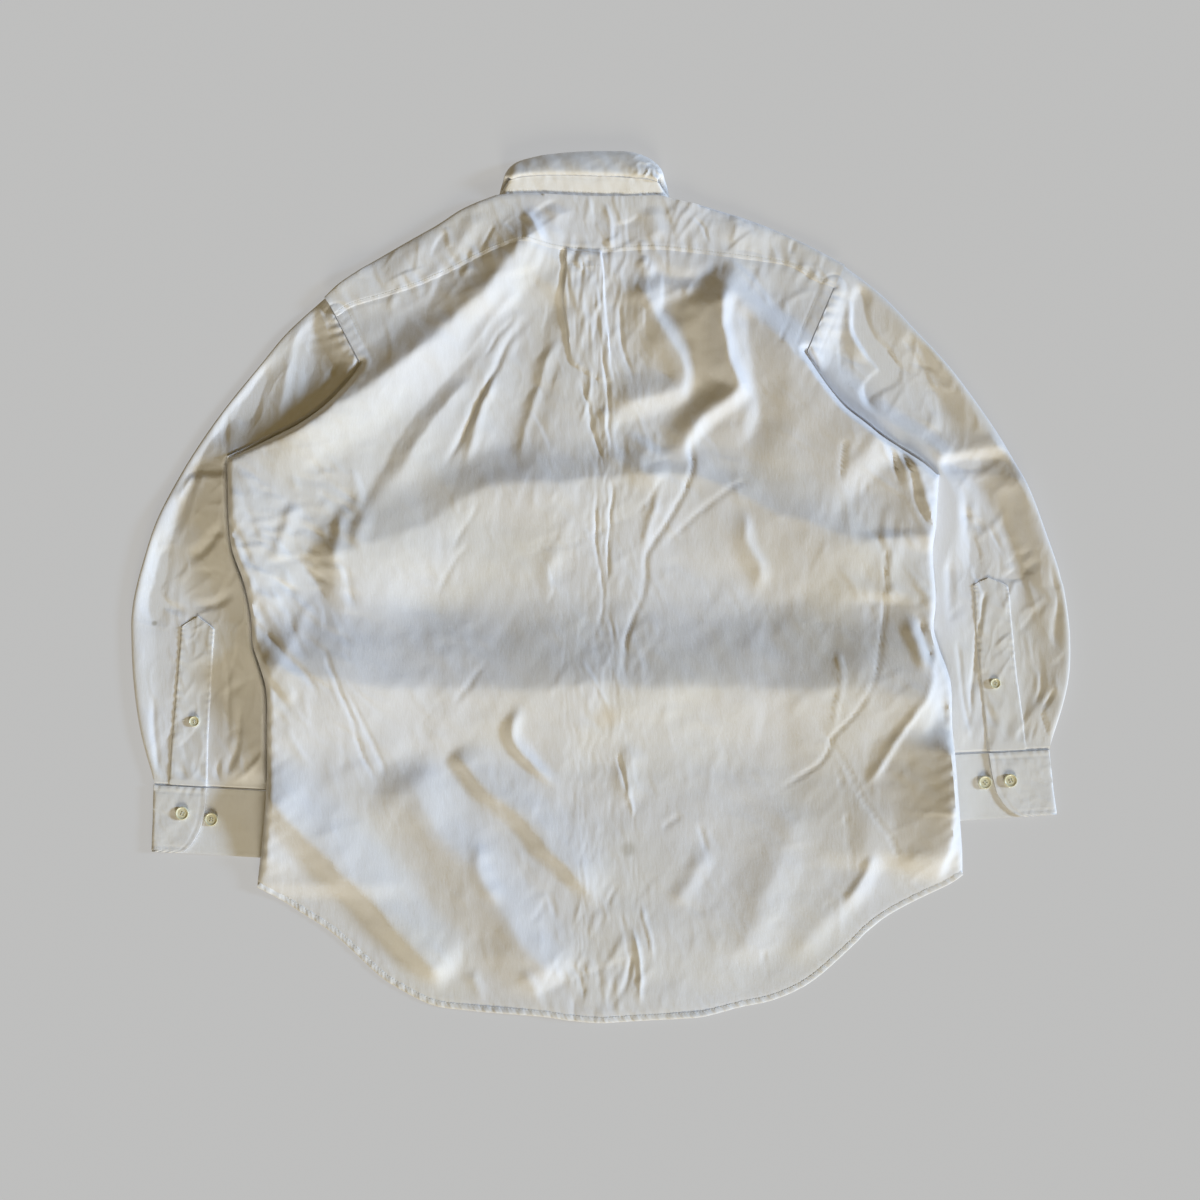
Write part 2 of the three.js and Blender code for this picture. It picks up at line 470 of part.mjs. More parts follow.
// ---------------------------------------------------------------- cuffs
// one strip rolled flat: free end on top, round the outer fold, along the bottom,
// round the hidden fold and back under the free end
const CUFF_MID = CUFF * 1.5 + .6, CUFF_TOP = CUFF * 2.5 + 1.2;   // centres of the upper layers
function cuff(table) {
  const P = [], Q = [];
  table.forEach(r => {
    const w = Math.hypot(r.ix - r.ox, r.iy - r.oy), h = CUFF / 2;
    const put = ([s, z]) => V(lerp(r.ox, r.ix, s / w), lerp(r.oy, r.iy, s / w), z);
    const line = [[r.flap, CUFF_TOP], [r.flap * .5, CUFF_TOP], [h + 2.6, CUFF_TOP], [h + .8, CUFF_TOP - .8], [h, CUFF_MID],
      [h + .8, h + .8], [h + 2.6, h], [w * .35, h], [w * .7, h], [w - 3.4, h], [w - 1.4, h + .4], [w - h, (h + CUFF_MID) / 2],
      [w - 1.4, CUFF_MID - .4], [w - 3.4, CUFF_MID], [w * .7, CUFF_MID], [w * .45, CUFF_MID], [18, CUFF_MID]];
    const c = wall(line, CUFF);
    P.push(c.map(v => put(v.p))); Q.push(c.map(v => put(v.q)));
  });
  return slab(P, Q);
}
add('cuff_left', cuff(CUFF_L), WHITE);
add('cuff_right', cuff(CUFF_R), WHITE);

// ---------------------------------------------------------------- collar
// stations round the neck, from the middle of the front by the left side, the back
// and the right side to the middle of the front again
const STAND_RISE = { back: { y: 16.5, z: 8.5 }, front: { y: 25, z: 1.0 } };
function ring(n, steps = Array.from({ length: n }, (_, i) => i)) {
  const out = [];
  for (const i of steps) {
    const a = -Math.PI / 2 - 2 * Math.PI * i / n, c = Math.cos(a), s = Math.sin(a);
    const back = smooth((s - .02) / .5), x = NECK_FRONT.cx + NECK_FRONT.rx * c, side = 1 - Math.abs(s);
    const y = s > 1e-6 ? at(NECK_BACK, clamp(x, -98, 68)) + GAP : NECK_FRONT.cy - NECK_FRONT.drop * Math.abs(s) + GAP;
    const low = V(x, y, lerp(COLLAR_LIFT + .2, 6.4, back));
    const up = V(NECK_FRONT.cx + (x - NECK_FRONT.cx) * (lerp(.93, .965, back) - .09 * side * side),
      y + lerp(STAND_RISE.front.y, STAND_RISE.back.y, back) * (1 - .55 * side),
      low.z + lerp(STAND_RISE.front.z, STAND_RISE.back.z, back) * (1 - .3 * side));
    out.push({ c, s, back, low, up });
  }
  return out;
}
{
  const P = [], Q = [];
  ring(STATIONS).forEach(r => {
    // the wall goes down and in at the back, up and in at the front
    const t = BAND * clamp(Math.abs(r.s) * 2.2, 0, 1);
    const inw = V(-r.c * BAND * (1 - clamp(Math.abs(r.s) * 1.2, 0, 1)), 0, 0);
    const dir = V(-r.c * .2, r.s > 0 ? .35 : .05, r.s > 0 ? -1 : 1).normalize();
    const move = p => p.clone().addScaledVector(dir, t).add(inw);
    const mid = r.low.clone().lerp(r.up, .5);
    P.push([r.low, mid, r.up]); Q.push([move(r.low), move(mid), move(r.up)]);
  });
  add('collar_stand', slab(P, Q, true), WHITE);
}
{
  // leaf: at the back it stands up from the stand's top edge and arches over to the
  // outline; at the front it rolls under and lies flat, ending in two points.
  // Outer or free edge by the angle round the neck, 0 at the middle of the front
  const EDGE = cols(['deg', 'x', 'y', 'z'], [
    [2, -17, 300, .82], [16, -33, 283, .82], [33, -62, 268, .82], [49, -86, 262, .82], [65, -98, 298, .82], [82, -101, 332, .82],
    [98, -97, 366, .82], [115, -90, 390, 1.4], [131, -79, 402, 2], [147, -58, 408, 2.4], [164, -36, 411, 2.6], [180, -12, 412.4, 2.6],
    [196, 12, 412.8, 2.6], [213, 30, 411.6, 2.4], [229, 47, 405.5, 2], [245, 59, 393, 1.4],
    [262, 67, 366, .82], [278, 71, 332, .82], [295, 68, 298, .82], [311, 56, 262, .82], [327, 32, 268, .82], [344, 3, 283, .82], [358, -13, 300, .82],
  ]);
  const FLAT = [[0, .5], [2.6, .8], [4.2, -.9], [2.6, 0], [-.5, 0], [-1, 0]];     // mm past the root or share to the edge; lift
  const ARCH = [[0, 0], [.28, 4.8], [.64, 5.2], [.92, .6], [1.0, -6], [.96, 0]];
  const steps = [.14, ...Array.from({ length: STATIONS - 1 }, (_, i) => i + 1), STATIONS - .14];
  const C = ring(STATIONS, steps).map((r, i) => {
    const e = EDGE[i], dir = r.up.clone().sub(r.low).normalize(), root = r.up.clone().addScaledVector(dir, GAP + .5 + 1.6 * (1 - Math.abs(r.s)));
    root.z -= BAND / 2 * (r.s > 0 ? 1 : -1);
    root.x -= r.c * 2.4 * (1 - Math.abs(r.s));
    root.z -= 1.5 * (1 - Math.abs(r.s));
    const arch = r.back > .5;
    return (arch ? ARCH : FLAT).map(([f, z], j) => {
      if (arch) {
        const p = V(lerp(root.x, e.x, f), lerp(root.y, e.y, f), j === 5 ? e.z : root.z + z);
        if (j === 4) p.z = lerp(root.z, e.z, .55);
        return p;
      }
      if (f >= 0) {
        const p = root.clone().addScaledVector(V(dir.x, dir.y, 0).normalize(), f);
        p.z = j === 3 ? e.z : Math.max(root.z + z, j === 2 ? 2.4 : 0);
        return p;
      }
      return V(lerp(root.x, e.x, -f), lerp(root.y, e.y, -f), e.z);
    });
  });
  const n = C.length, m = C[0].length, P = [], Q = [];
  for (let i = 0; i < n; i++) {
    const p = [], q = [];
    for (let j = 0; j < m; j++) {
      const du = C[Math.min(n - 1, i + 1)][j].clone().sub(C[Math.max(0, i - 1)][j]);
      const dv = C[i][Math.min(m - 1, j + 1)].clone().sub(C[i][Math.max(0, j - 1)]);
      const nrm = du.cross(dv).normalize();
      const a = C[i][j].clone().addScaledVector(nrm, BAND / 2), b = C[i][j].clone().addScaledVector(nrm, -BAND / 2);
      a.z = Math.max(0, a.z); b.z = Math.max(0, b.z);
      p.push(a); q.push(b);
    }
    P.push(p); Q.push(q);
  }
  add('collar_leaf', slab(P, Q), WHITE);
}

// ---------------------------------------------------------------- buttons
function button(name, size, x, y, z, holes = true) {
  const ring12 = new THREE.Shape(), n = 12;
  for (let i = 0; i < n; i++) {
    const a = 2 * Math.PI * (i + .5) / n, px = size.r * Math.cos(a), py = size.r * Math.sin(a);
    i ? ring12.lineTo(px, py) : ring12.moveTo(px, py);
  }
  if (holes) for (let k = 0; k < 4; k++) {       // four thread holes
    const a = k * Math.PI / 2 + .35, cx = size.r * .3 * Math.cos(a), cy = size.r * .3 * Math.sin(a), hole = new THREE.Path();
    for (let q = 0; q < 4; q++) {
      const b = a + .2 - q * Math.PI / 2, px = cx + size.r * .15 * Math.cos(b), py = cy + size.r * .15 * Math.sin(b);
      q ? hole.lineTo(px, py) : hole.moveTo(px, py);
    }
    ring12.holes.push(hole);
  }
  const g = new THREE.ExtrudeGeometry(ring12, { depth: size.t, bevelEnabled: false });
  add(name, g, CREAM).position.set(x, y, z);
}
const plateTop = (table, x, y) => {        // top of a placket at a point
  let best = null;
  for (let k = PLACKET_FROM; k < table.length; k++) {
    const r = table[k], f = clamp((x - r.ox) / (r.ix - r.ox), 0, 1), yy = lerp(r.oy, r.iy, f);
    const z = Math.max(sleeveTop(r, r.pl), sleeveTop(r, r.pr));
    if (!best || Math.abs(yy - y) < best.d) best = { d: Math.abs(yy - y), z: Math.max(z, best ? 0 : 0) };
  }
  return best.z + GAP + CLOTH + .7;
};
for (const b of BUTTONS) {
  const z = b.on === 'flap' ? CUFF_TOP + CUFF / 2 + GAP
    : b.on === 'cuff' ? CUFF_MID + CUFF / 2 + GAP
      : plateTop(b.on === 'placket_l' ? SLEEVE_L : SLEEVE_R, b.x, b.y);
  button(b.name, b.size, b.x, b.y, z);
}
for (let i = 0; i < FRONT_BUTTONS.n; i++) {
  const y = FRONT_BUTTONS.y0 + i * FRONT_BUTTONS.step;
  button(`front_button_${i + 1}`, FRONT_BUTTON, midX(y), y, 0, false);
}

export default shirt;
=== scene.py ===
# A long-sleeved shirt lying on its front. Everything below is in millimetres until a
# mesh is made; +X to the right, +Y to the collar, +Z up, the floor at Z = 0.
import math
import bpy
import bmesh
import numpy as np
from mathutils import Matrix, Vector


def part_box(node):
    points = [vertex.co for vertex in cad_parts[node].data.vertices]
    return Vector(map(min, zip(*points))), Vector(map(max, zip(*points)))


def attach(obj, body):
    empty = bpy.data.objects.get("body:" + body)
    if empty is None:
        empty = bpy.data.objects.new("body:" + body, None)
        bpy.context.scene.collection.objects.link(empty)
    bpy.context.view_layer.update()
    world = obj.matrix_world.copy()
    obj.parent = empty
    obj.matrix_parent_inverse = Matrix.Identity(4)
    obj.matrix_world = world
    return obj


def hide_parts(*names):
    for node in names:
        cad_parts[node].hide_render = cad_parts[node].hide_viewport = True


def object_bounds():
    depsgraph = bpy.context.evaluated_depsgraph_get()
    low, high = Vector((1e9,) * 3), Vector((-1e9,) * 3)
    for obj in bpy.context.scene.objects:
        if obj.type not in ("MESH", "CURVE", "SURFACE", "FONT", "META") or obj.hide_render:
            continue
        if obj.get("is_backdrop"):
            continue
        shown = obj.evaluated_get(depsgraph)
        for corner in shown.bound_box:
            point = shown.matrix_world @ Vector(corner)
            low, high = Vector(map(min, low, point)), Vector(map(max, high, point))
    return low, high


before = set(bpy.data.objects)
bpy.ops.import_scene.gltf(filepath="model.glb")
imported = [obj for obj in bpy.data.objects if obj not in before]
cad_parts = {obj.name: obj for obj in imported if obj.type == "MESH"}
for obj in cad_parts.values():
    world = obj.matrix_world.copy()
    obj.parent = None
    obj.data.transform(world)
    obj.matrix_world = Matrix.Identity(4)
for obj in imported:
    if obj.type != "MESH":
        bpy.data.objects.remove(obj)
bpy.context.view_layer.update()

# ------------------------------------------------------------------ sizes
CLOTH = 0.9              # visible wall of the back
WALL = 1.2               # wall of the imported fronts
LAYER = 0.5
COVER = 4.9              # the fronts ride over the tucked sleeves
SLEEVE_H = 3.8
BAND_Z = 2.3
STAND_Z = 3.9
NECK_ROOM = 5.6
COLLAR_LIFT = 2.4
NECK = {"cx": -15.0, "cy": 370.0, "rx": 83.0, "drop": 71.0}
CUFF = 1.8
GAP = 0.4
BAND = 1.6

SHOULDER_L = [(-261, 275), (-248, 287), (-226, 302), (-203, 316), (-178, 330), (-153, 344), (-129, 359), (-98, 371.5)]
SHOULDER_R = [(68, 368), (106, 359), (153, 344), (186, 330), (213, 316), (232, 305.5)]
NECK_BACK = [(-98, 371.5), (-74, 373), (-34, 371.5), (-8, 370.5), (32, 370.5), (55, 371), (68, 368)]
YOKE_SEAM = [(-249, 257), (-235, 266), (-202, 276), (-172, 286), (-142, 299), (-114, 313), (-86, 324), (-70, 326), (-54, 323), (-36, 320), (0, 317.5), (29, 319.5), (59, 320), (114, 314), (165, 308), (184, 303), (204, 291), (222, 284.5)]
ARM_L = [(-249, 256.5), (-227, 212)]
UNDER_L = [(-227, 212), (-241, 193), (-262, 172), (-284, 156), (-305, 145), (-329, 133), (-352, 122)]
SIDE_L = [(-352, 122), (-353, 99), (-350, 44), (-337, 4), (-331, -25), (-329, -53), (-321, -78), (-316, -100), (-316, -146), (-316, -190), (-320, -241), (-325, -284)]
ARM_R = [(222, 284), (195, 222.4)]
UNDER_R = [(195, 222.4), (207, 204), (220, 186), (234, 170), (252, 156), (268, 143), (290, 129), (308, 117), (321, 105)]
SIDE_R = [(321, 105), (318, 58), (315, 30), (318, -12), (316, -39), (321, -60), (332, -93), (334, -138), (337, -170), (341, -221), (345, -273)]
HEM = [(-325, -284), (-303, -297), (-281, -311), (-259, -325), (-241, -340), (-211, -368), (-190, -382), (-159, -397), (-124, -402), (-57, -407), (-28, -411), (0, -413), (38, -411), (76, -409), (100, -407), (133, -399), (162, -393), (189, -382), (210, -368), (241, -340), (256, -325), (275, -311), (301, -297), (330, -283), (345, -273)]
PLEAT_L = [(-36, 326), (-33, 322), (-32, 302), (-35, 273), (-31, 245), (-28, 216), (-21, 209)]
PLEAT_R = [(0, 326), (0, 321), (3, 302), (4, 273), (8, 235), (11, 202), (15, 185)]

# sleeve sections: outer edge, hidden edge, placket edges as shares, height of the puff
SLEEVE_L = [
    (-261.5, 274.8, -227.6, 211.8, None, None, 0.4), (-296, 243, -226, 196, None, None, 3.0),
    (-322, 212, -232, 172, None, None, 6.0), (-350, 178, -243, 150, None, None, 8.0),
    (-375, 144, -258, 122, None, None, 9.0), (-399, 106, -272, 94, None, None, 8.5),
    (-420, 64, -287, 66, None, None, 7.5), (-434, 22, -294, 34, None, None, 6.0),
    (-441, -4, -298, -8, None, None, 4.5), (-444, -22, -299, -34, .322, .54, 4.0),
    (-445, -40, -300, -49, .324, .545, 3.6), (-443, -88, -301, -92, .292, .518, 3.4),
    (-436, -138, -304, -141, .227, .485, 3.2), (-423, -185.5, -311, -191.5, .130, .446, 2.2)]
SLEEVE_R = [
    (232.5, 305.2, 195.6, 222.2, None, None, 0.4), (268, 277, 196, 205, None, None, 3.0),
    (300, 243, 203, 182, None, None, 6.5), (330, 210, 214, 160, None, None, 9.0),
    (358, 173, 230, 138, None, None, 9.0), (384, 134, 248, 112, None, None, 8.5),
    (406, 92, 266, 88, None, None, 7.5), (424, 45, 283, 52, None, None, 6.0),
    (433, 20, 290, 24, None, None, 5.0), (436, 9, 290, 10, .345, .575, 4.5),
    (440, -6, 290, 0, .345, .568, 4.2), (445, -47, 295, -42, .353, .583, 3.8),
    (443, -92, 305, -88, .336, .587, 3.2), (427, -152, 319, -157, .213, .546, 2.2)]
CUFF_L = [(-424.5, -187.5, -308, -194, 51), (-425, -206, -308, -213, 50), (-425.5, -226, -308, -233, 46), (-426.5, -250.5, -309, -257.5, 34)]
CUFF_R = [(427, -154.2, 318, -160, 58), (429.5, -176, 320, -182, 57), (431.5, -195, 322, -202, 53), (434.5, -215.5, 324, -223, 41)]

# folds, ridges (+) and creases (-), listed one by one:
# height, width to its left and right, sharpness, share of its length over which each
# end fades, and its line
BODY_FOLDS = [
    (10, 44, 86, 1.25, 0.04, 0.12, [(-274, 24), (-218, 38), (-171, 58), (-131, 81), (-76, 98), (-19, 102), (38, 104), (86, 102), (133, 85), (180, 66), (228, 49), (290, 39)]),   # arc crest
    (16, 89, 84, 1.3, 0.05, 0.05, [(-329, -61), (-285, -82), (-190, -94), (-95, -95), (0, -94), (95, -92), (190, -94), (256, -95), (327, -107)]),   # middle crest
    (5, 42, 57, 1.4, 0.2, 0.2, [(270, 55), (272, 21), (270, -16)]),   # right edge brow
    (6, 59, 11, 1.3, 0.2, 0.2, [(-327, -156), (-331, -211), (-321, -283)]),   # left margin
    (5, 76, 10, 1.3, 0.25, 0.25, [(-353, 112), (-342, 26), (-327, -50)]),   # left shoulder edge
    (-3.5, 57, 57, 1.8, 0.1, 0.1, [(-332, -10), (-190, -16), (0, -12), (190, -16), (314, -12)]),   # middle hollow
    (14, 44, 36, 1.15, 0.1, 0.2, [(-52, 354), (-71, 327), (-99, 289), (-127, 262), (-157, 235), (-192, 207), (-238, 176), (-285, 144), (-328, 119)]),   # left fan 1
    (-3.8, 15, 49, 1.3, 0.12, 0.2, [(-38, 313), (-84, 267), (-125, 226), (-156, 190), (-182, 152), (-204, 114), (-222, 78), (-242, 38)]),   # left fan 2 hollow
    (2.2, 15, 10, 1.2, 0.2, 0.3, [(-124, 202), (-152, 169), (-176, 131), (-195, 93)]),   # left fan 3
    (-7, 36, 42, 1.3, 0.12, 0.25, [(-48, 294), (-63, 240), (-72, 183), (-82, 131), (-90, 100)]),   # left fan 4 hollow
    (3, 10, 15, 1.2, 0.2, 0.25, [(-42, 240), (-57, 192), (-68, 150), (-78, 112)]),   # left fan 5
    (2.6, 10, 11, 1.3, 0.2, 0.3, [(-95, 202), (-116, 159), (-131, 112)]),   # left fan 6
    (2.4, 11, 10, 1.3, 0.2, 0.3, [(-76, 283), (-104, 249), (-138, 214)]),   # left fan 7
    (8, 21, 42, 1.3, 0.12, 0.2, [(46, 296), (52, 266), (64, 233), (76, 207), (72, 190), (52, 181), (27, 171), (8, 152)]),   # s crest 1
    (11, 14, 26, 1.25, 0.12, 0.2, [(117, 289), (113, 258), (119, 226), (131, 191), (116, 174), (95, 159), (80, 138), (73, 112)]),   # s crest 2
    (-4.5, 38, 15, 1.4, 0.15, 0.3, [(137, 271), (142, 230), (148, 178), (142, 148), (116, 125)]),   # s hollow 3
    (13, 32, 128, 1.45, 0.12, 0.12, [(99, 302), (131, 267), (163, 237), (201, 201), (243, 165), (285, 129)]),   # right slope
    (7.5, 13, 57, 1.35, 0.2, 0.2, [(290, 131), (308, 95), (312, 55), (304, 26)]),   # right slope 2
    (5, 28, 25, 1.4, 0.2, 0.3, [(52, 140), (38, 112), (65, 102)]),   # small brow
    (3, 15, 17, 1.3, 0.2, 0.3, [(5, 173), (11, 140), (17, 104)]),   # below pleat
    (10, 48, 27, 1.3, 0.12, 0.1, [(-321, -178), (-294, -216), (-266, -242), (-218, -292), (-171, -347), (-144, -378)]),   # low left 1
    (9.5, 44, 59, 1.35, 0.15, 0.1, [(-195, -159), (-166, -206), (-138, -247), (-104, -293), (-74, -333), (-38, -378)]),   # low left 2
    (7, 40, 17, 1.2, 0.12, 0.2, [(-142, -152), (-109, -188), (-71, -223), (-33, -261), (0, -304)]),   # low left 3
    (4.2, 13, 9, 1.3, 0.2, 0.25, [(-74, -109), (-85, -128), (-82, -147), (-65, -166), (-42, -189)]),   # hook
    (14, 11, 80, 1.3, 0.16, 0.16, [(334, -133), (332, -183), (332, -238), (317, -287)]),   # low right edge
    (2.5, 25, 25, 1.3, 0.2, 0.15, [(268, -194), (251, -247), (234, -287), (207, -325), (179, -361)]),   # low right 2
    (3.4, 32, 38, 1.4, 0.2, 0.15, [(190, -202), (169, -259), (150, -311), (129, -361)]),   # low right 3
    (3.4, 19, 8, 1.3, 0.2, 0.3, [(258, -249), (245, -278), (228, -306)]),   # low right 4
    (3.4, 11, 21, 1.3, 0.25, 0.3, [(135, 77), (140, 45), (154, 17), (144, -4)]),   # dent
    (3.2, 13, 11, 1.4, 0.25, 0.3, [(290, -23), (296, -50), (306, -84)]),   # edge patch right
    (-3.2, 11, 13, 1.3, 0.2, 0.2, [(38, 304), (66, 296), (95, 298), (122, 307)]),   # below yoke right
    (3, 11, 11, 1.4, 0.2, 0.3, [(38, 313), (44, 297), (49, 309)]),   # yoke flick
    (3.4, 17, 25, 1.4, 0.25, 0.2, [(-236, 85), (-222, 64), (-236, 38)]),   # left edge hollow
    (3, 13, 11, 1.3, 0.3, 0.15, [(-289, 83), (-296, 55), (-306, 26)]),   # left dimple 1
    (3, 13, 11, 1.3, 0.3, 0.15, [(-242, 78), (-247, 50), (-253, 20)]),   # left dimple 2
    (2.6, 15, 11, 1.4, 0.2, 0.3, [(-114, -240), (-116, -268), (-95, -302)]),   # low left small
    (2.6, 19, 21, 1.5, 0.3, 0.3, [(38, -145), (27, -173), (34, -202)]),   # mid low
    (2.4, 17, 15, 1.5, 0.3, 0.3, [(101, -245), (86, -278), (68, -302)]),   # mid low 2
    (2.2, 15, 17, 1.5, 0.3, 0.3, [(-38, 45), (-49, 12), (-42, -17)]),   # mid hollow edge
    (-2.6, 6, 8, 1.1, .2, .2, [(-56, 268), (-88, 228), (-114, 176), (-137, 136), (-151, 108)]),   # left 3 thin
    (-1.6, 5, 5, 1, .3, .3, [(-78, 257), (-98, 235), (-114, 218)]),   # left 6 thin
    (-1.6, 5, 5, 1, .3, .3, [(-60, 197), (-69, 180), (-78, 165)]),   # left 7 thin
    (1.6, 3.5, 3.5, 1, .15, .15, [(122, 308), (144, 288), (165, 265)]),   # crease right a
    (-1.2, 3, 3, 1, .3, .3, [(180, 254), (171, 237), (164, 224)]),   # crease right b
    (-2.3, 5, 5.5, 1.1, .1, .25, [(82, 150), (86, 112), (74, 81), (49, 36), (42, -4), (28, -31), (23, -55), (24, -97)]),   # white line
    (-3, 5, 6, 1.2, .15, .35, [(266, 142), (274, 117), (281, 93)]),   # arm crease 1
    (-3.4, 7, 7, 1.2, .15, .3, [(275, 139), (295, 102), (308, 60), (315, 34)]),   # arm crease 2
    (-1.8, 4, 5, 1.2, .2, .3, [(231, 142), (229, 119), (226, 96)]),   # arm crease 3
    (-1.3, 3.5, 3.5, 1.1, .2, .3, [(250, 102), (248, 76), (247, 50)]),   # arm crease 4
    (-2.2, 6, 8, 1.4, .2, .4, [(291, 131), (314, 83), (317, 26)]),   # arm crease 5
    (-1.7, 3.6, 4, 1, .12, .12, [(276, 49), (270, 18), (267, -36), (256, -81), (240, -118), (219, -141), (209, -158), (168, -197)]),   # long right
    (1.6, 3.5, 4, 1, .15, .15, [(222, -55), (224, -76), (222, -107), (220, -135)]),   # dark right 1
    (3, 6, 8, 1.2, .12, .2, [(317, -50), (308, -89), (294, -122), (273, -155), (251, -193)]),   # dark right 2
    (-1.2, 3, 3.5, 1, .12, .2, [(207, -128), (248, -196), (276, -240), (291, -270)]),   # cross 1
    (-1.2, 3, 3, 1, .2, .2, [(219, -156), (230, -192), (235, -221), (234, -284)]),   # cross 2
    (-3.4, 8, 9, 1.6, .3, .3, [(298, -18), (308, -50), (314, -80)]),   # edge bump right 1
    (-2.4, 9, 8, 1.5, .3, .3, [(314, -97), (329, -126), (332, -164)]),   # edge bump right 2
    (-1.3, 4, 5, 1.1, .3, .3, [(-142, -114), (-125, -92), (-104, -67)]),   # mid left a
    (1, 3, 3, 1, .2, .2, [(-16, -69), (-4, -92), (10, -116)]),   # mid a
    (-1.5, 3.5, 3.5, 1, .15, .2, [(9, 100), (10, 45), (6, 4)]),   # mid b
    (-1.5, 3.5, 3.5, 1, .1, .2, [(-6, 93), (-5, 62), (1, 15), (2, -16), (-8, -52)]),   # mid c
    (-0.8, 2.8, 3, 1, .2, .2, [(-74, 19), (-57, 35), (-23, 45), (18, 60), (40, 70)]),   # mid d arc
    (-1.2, 3, 3.2, 1, .2, .2, [(34, 67), (48, 85), (59, 101)]),   # mid e
    (-1.5, 3.6, 4, 1.1, .15, .15, [(61, 39), (86, 63), (114, 84), (142, 104)]),   # mid f
    (2, 6, 6, 1.2, .3, .3, [(54, 89), (48, 64), (43, 36)]),   # mid g
    (-1.7, 4, 4.5, 1.1, .2, .2, [(-262, -50), (-247, -88), (-233, -122), (-224, -154), (-208, -187)]),   # left thin 1
    (-1.2, 4, 4, 1.1, .2, .2, [(-236, -97), (-217, -140), (-198, -181)]),   # left thin 2
    (-1.3, 4, 4, 1.1, .2, .3, [(-242, 20), (-236, -2), (-230, -18)]),   # left thin 3
    (-1.2, 3.5, 4, 1.1, .2, .3, [(-124, 45), (-144, 15), (-156, -16)]),   # left thin 4
    (-1.1, 3.5, 4, 1.1, .2, .3, [(-110, 78), (-131, 55), (-142, 38)]),   # left thin 5
    (-2.4, 7, 9, 1.5, .1, .4, [(-342, 20), (-321, -12), (-308, -50)]),   # left edge 1
    (-2.6, 8, 8, 1.5, .1, .4, [(-329, -50), (-312, -88), (-285, -126)]),   # left edge 2
    (-2, 6, 8, 1.5, .1, .4, [(-332, -23), (-294, -64), (-256, -107)]),   # left edge 3
    (-2.2, 6, 7, 1.4, .1, .4, [(-350, 64), (-332, 40), (-321, 12)]),   # left edge 4
    (-1.6, 4, 4, 1.2, .2, .3, [(2, 235), (6, 197), (11, 159), (13, 112)]),   # top centre 1
    (1.5, 4, 4, 1.2, .2, .3, [(-10, 216), (-11, 183), (-17, 150)]),   # top centre 2
    (-1.6, 4, 5, 1.2, .2, .3, [(16, 273), (21, 230), (32, 192)]),   # top centre 3
    (-1.5, 4, 4, 1.2, .2, .3, [(-22, 202), (-10, 169), (0, 134), (4, 112)]),   # top centre 4
    (2.2, 5, 6, 1.2, .2, .15, [(27, -325), (35, -356), (40, -396)]),   # bottom 1
    (-2.4, 5, 5, 1.2, .2, .15, [(26, -346), (22, -378), (11, -403)]),   # bottom 2
    (1.5, 4, 4, 1.1, .25, .3, [(38, -297), (44, -331), (49, -360)]),   # bottom 3
    (-1.3, 4, 4, 1.1, .3, .3, [(6, -302), (11, -291), (19, -278)]),   # bottom 4
    (-1, 3, 9, 1.1, .2, .2, [(-73, -388), (-38, -375), (0, -361), (30, -348)]),   # bottom 5
    (-1.5, 4, 5, 1.2, .3, .2, [(-4, -359), (2, -378), (4, -399)]),   # bottom 6
    (-1.6, 5, 5, 1.2, .3, .2, [(-25, -354), (-15, -378), (-11, -403)]),   # bottom 7
    (-1.2, 3, 3, 1, .2, .2, [(155, -344), (158, -358), (161, -373)]),   # bottom 8
    (1.5, 3.5, 3.5, 1, .2, .3, [(224, -291), (230, -318), (232, -346)]),   # bottom 9
    (-1.2, 3.5, 3.5, 1.1, .3, .3, [(234, -301), (243, -314), (253, -327)]),   # bottom 10
    (-1.4, 4, 4, 1.1, .3, .3, [(58, -230), (68, -222), (79, -213)]),   # low mid 2
    (-1.2, 4, 4, 1.1, .3, .3, [(92, -221), (97, -236), (99, -253)]),   # low mid 3
    (-1.5, 4, 5, 1.2, .2, .2, [(15, -156), (23, -175), (30, -195)]),   # low mid 4
    (1.2, 5, 5, 1.2, .2, .3, [(27, -183), (31, -202), (30, -216)]),   # low mid 5
    (2.4, 10, 12, 1.7, .3, .3, [(-124, -361), (-112, -382), (-106, -396)]),   # hem bulge left
    (2, 9, 10, 1.6, .3, .2, [(-71, -361), (-64, -382), (-57, -399)]),   # hem bulge left 2
    (1.8, 4.5, 5, 1.2, .2, .2, [(6, 365), (7, 344), (9, 321)]),   # yoke ridge
    (2.6, 8, 9, 1.4, .25, .2, [(-72, 357), (-64, 342), (-56, 324)]),   # yoke wedge
    (2.2, 14, 14, 1.8, .3, .3, [(-38, 363), (-42, 344), (-46, 325)]),   # yoke soft 1
    (2.4, 16, 18, 1.8, .3, .3, [(46, 362), (49, 343), (53, 324)]),   # yoke soft 2
    (2.2, 20, 20, 1.8, .3, .3, [(-152, 332), (-180, 309), (-204, 281)]),   # yoke soft 3
    (2, 18, 22, 1.8, .3, .3, [(114, 354), (138, 338), (162, 319)]),   # yoke soft 4
    (1.8, 14, 14, 1.8, .3, .3, [(-114, 357), (-124, 335), (-142, 309)]),   # yoke soft 5
    (-1.1, 3.5, 4, 1.1, .3, .3, [(86, 351), (97, 338), (103, 323)]),   # yoke crease 1
    (-1, 3.5, 4, 1.1, .3, .3, [(-97, 347), (-104, 330), (-110, 313)]),   # yoke crease 2
]
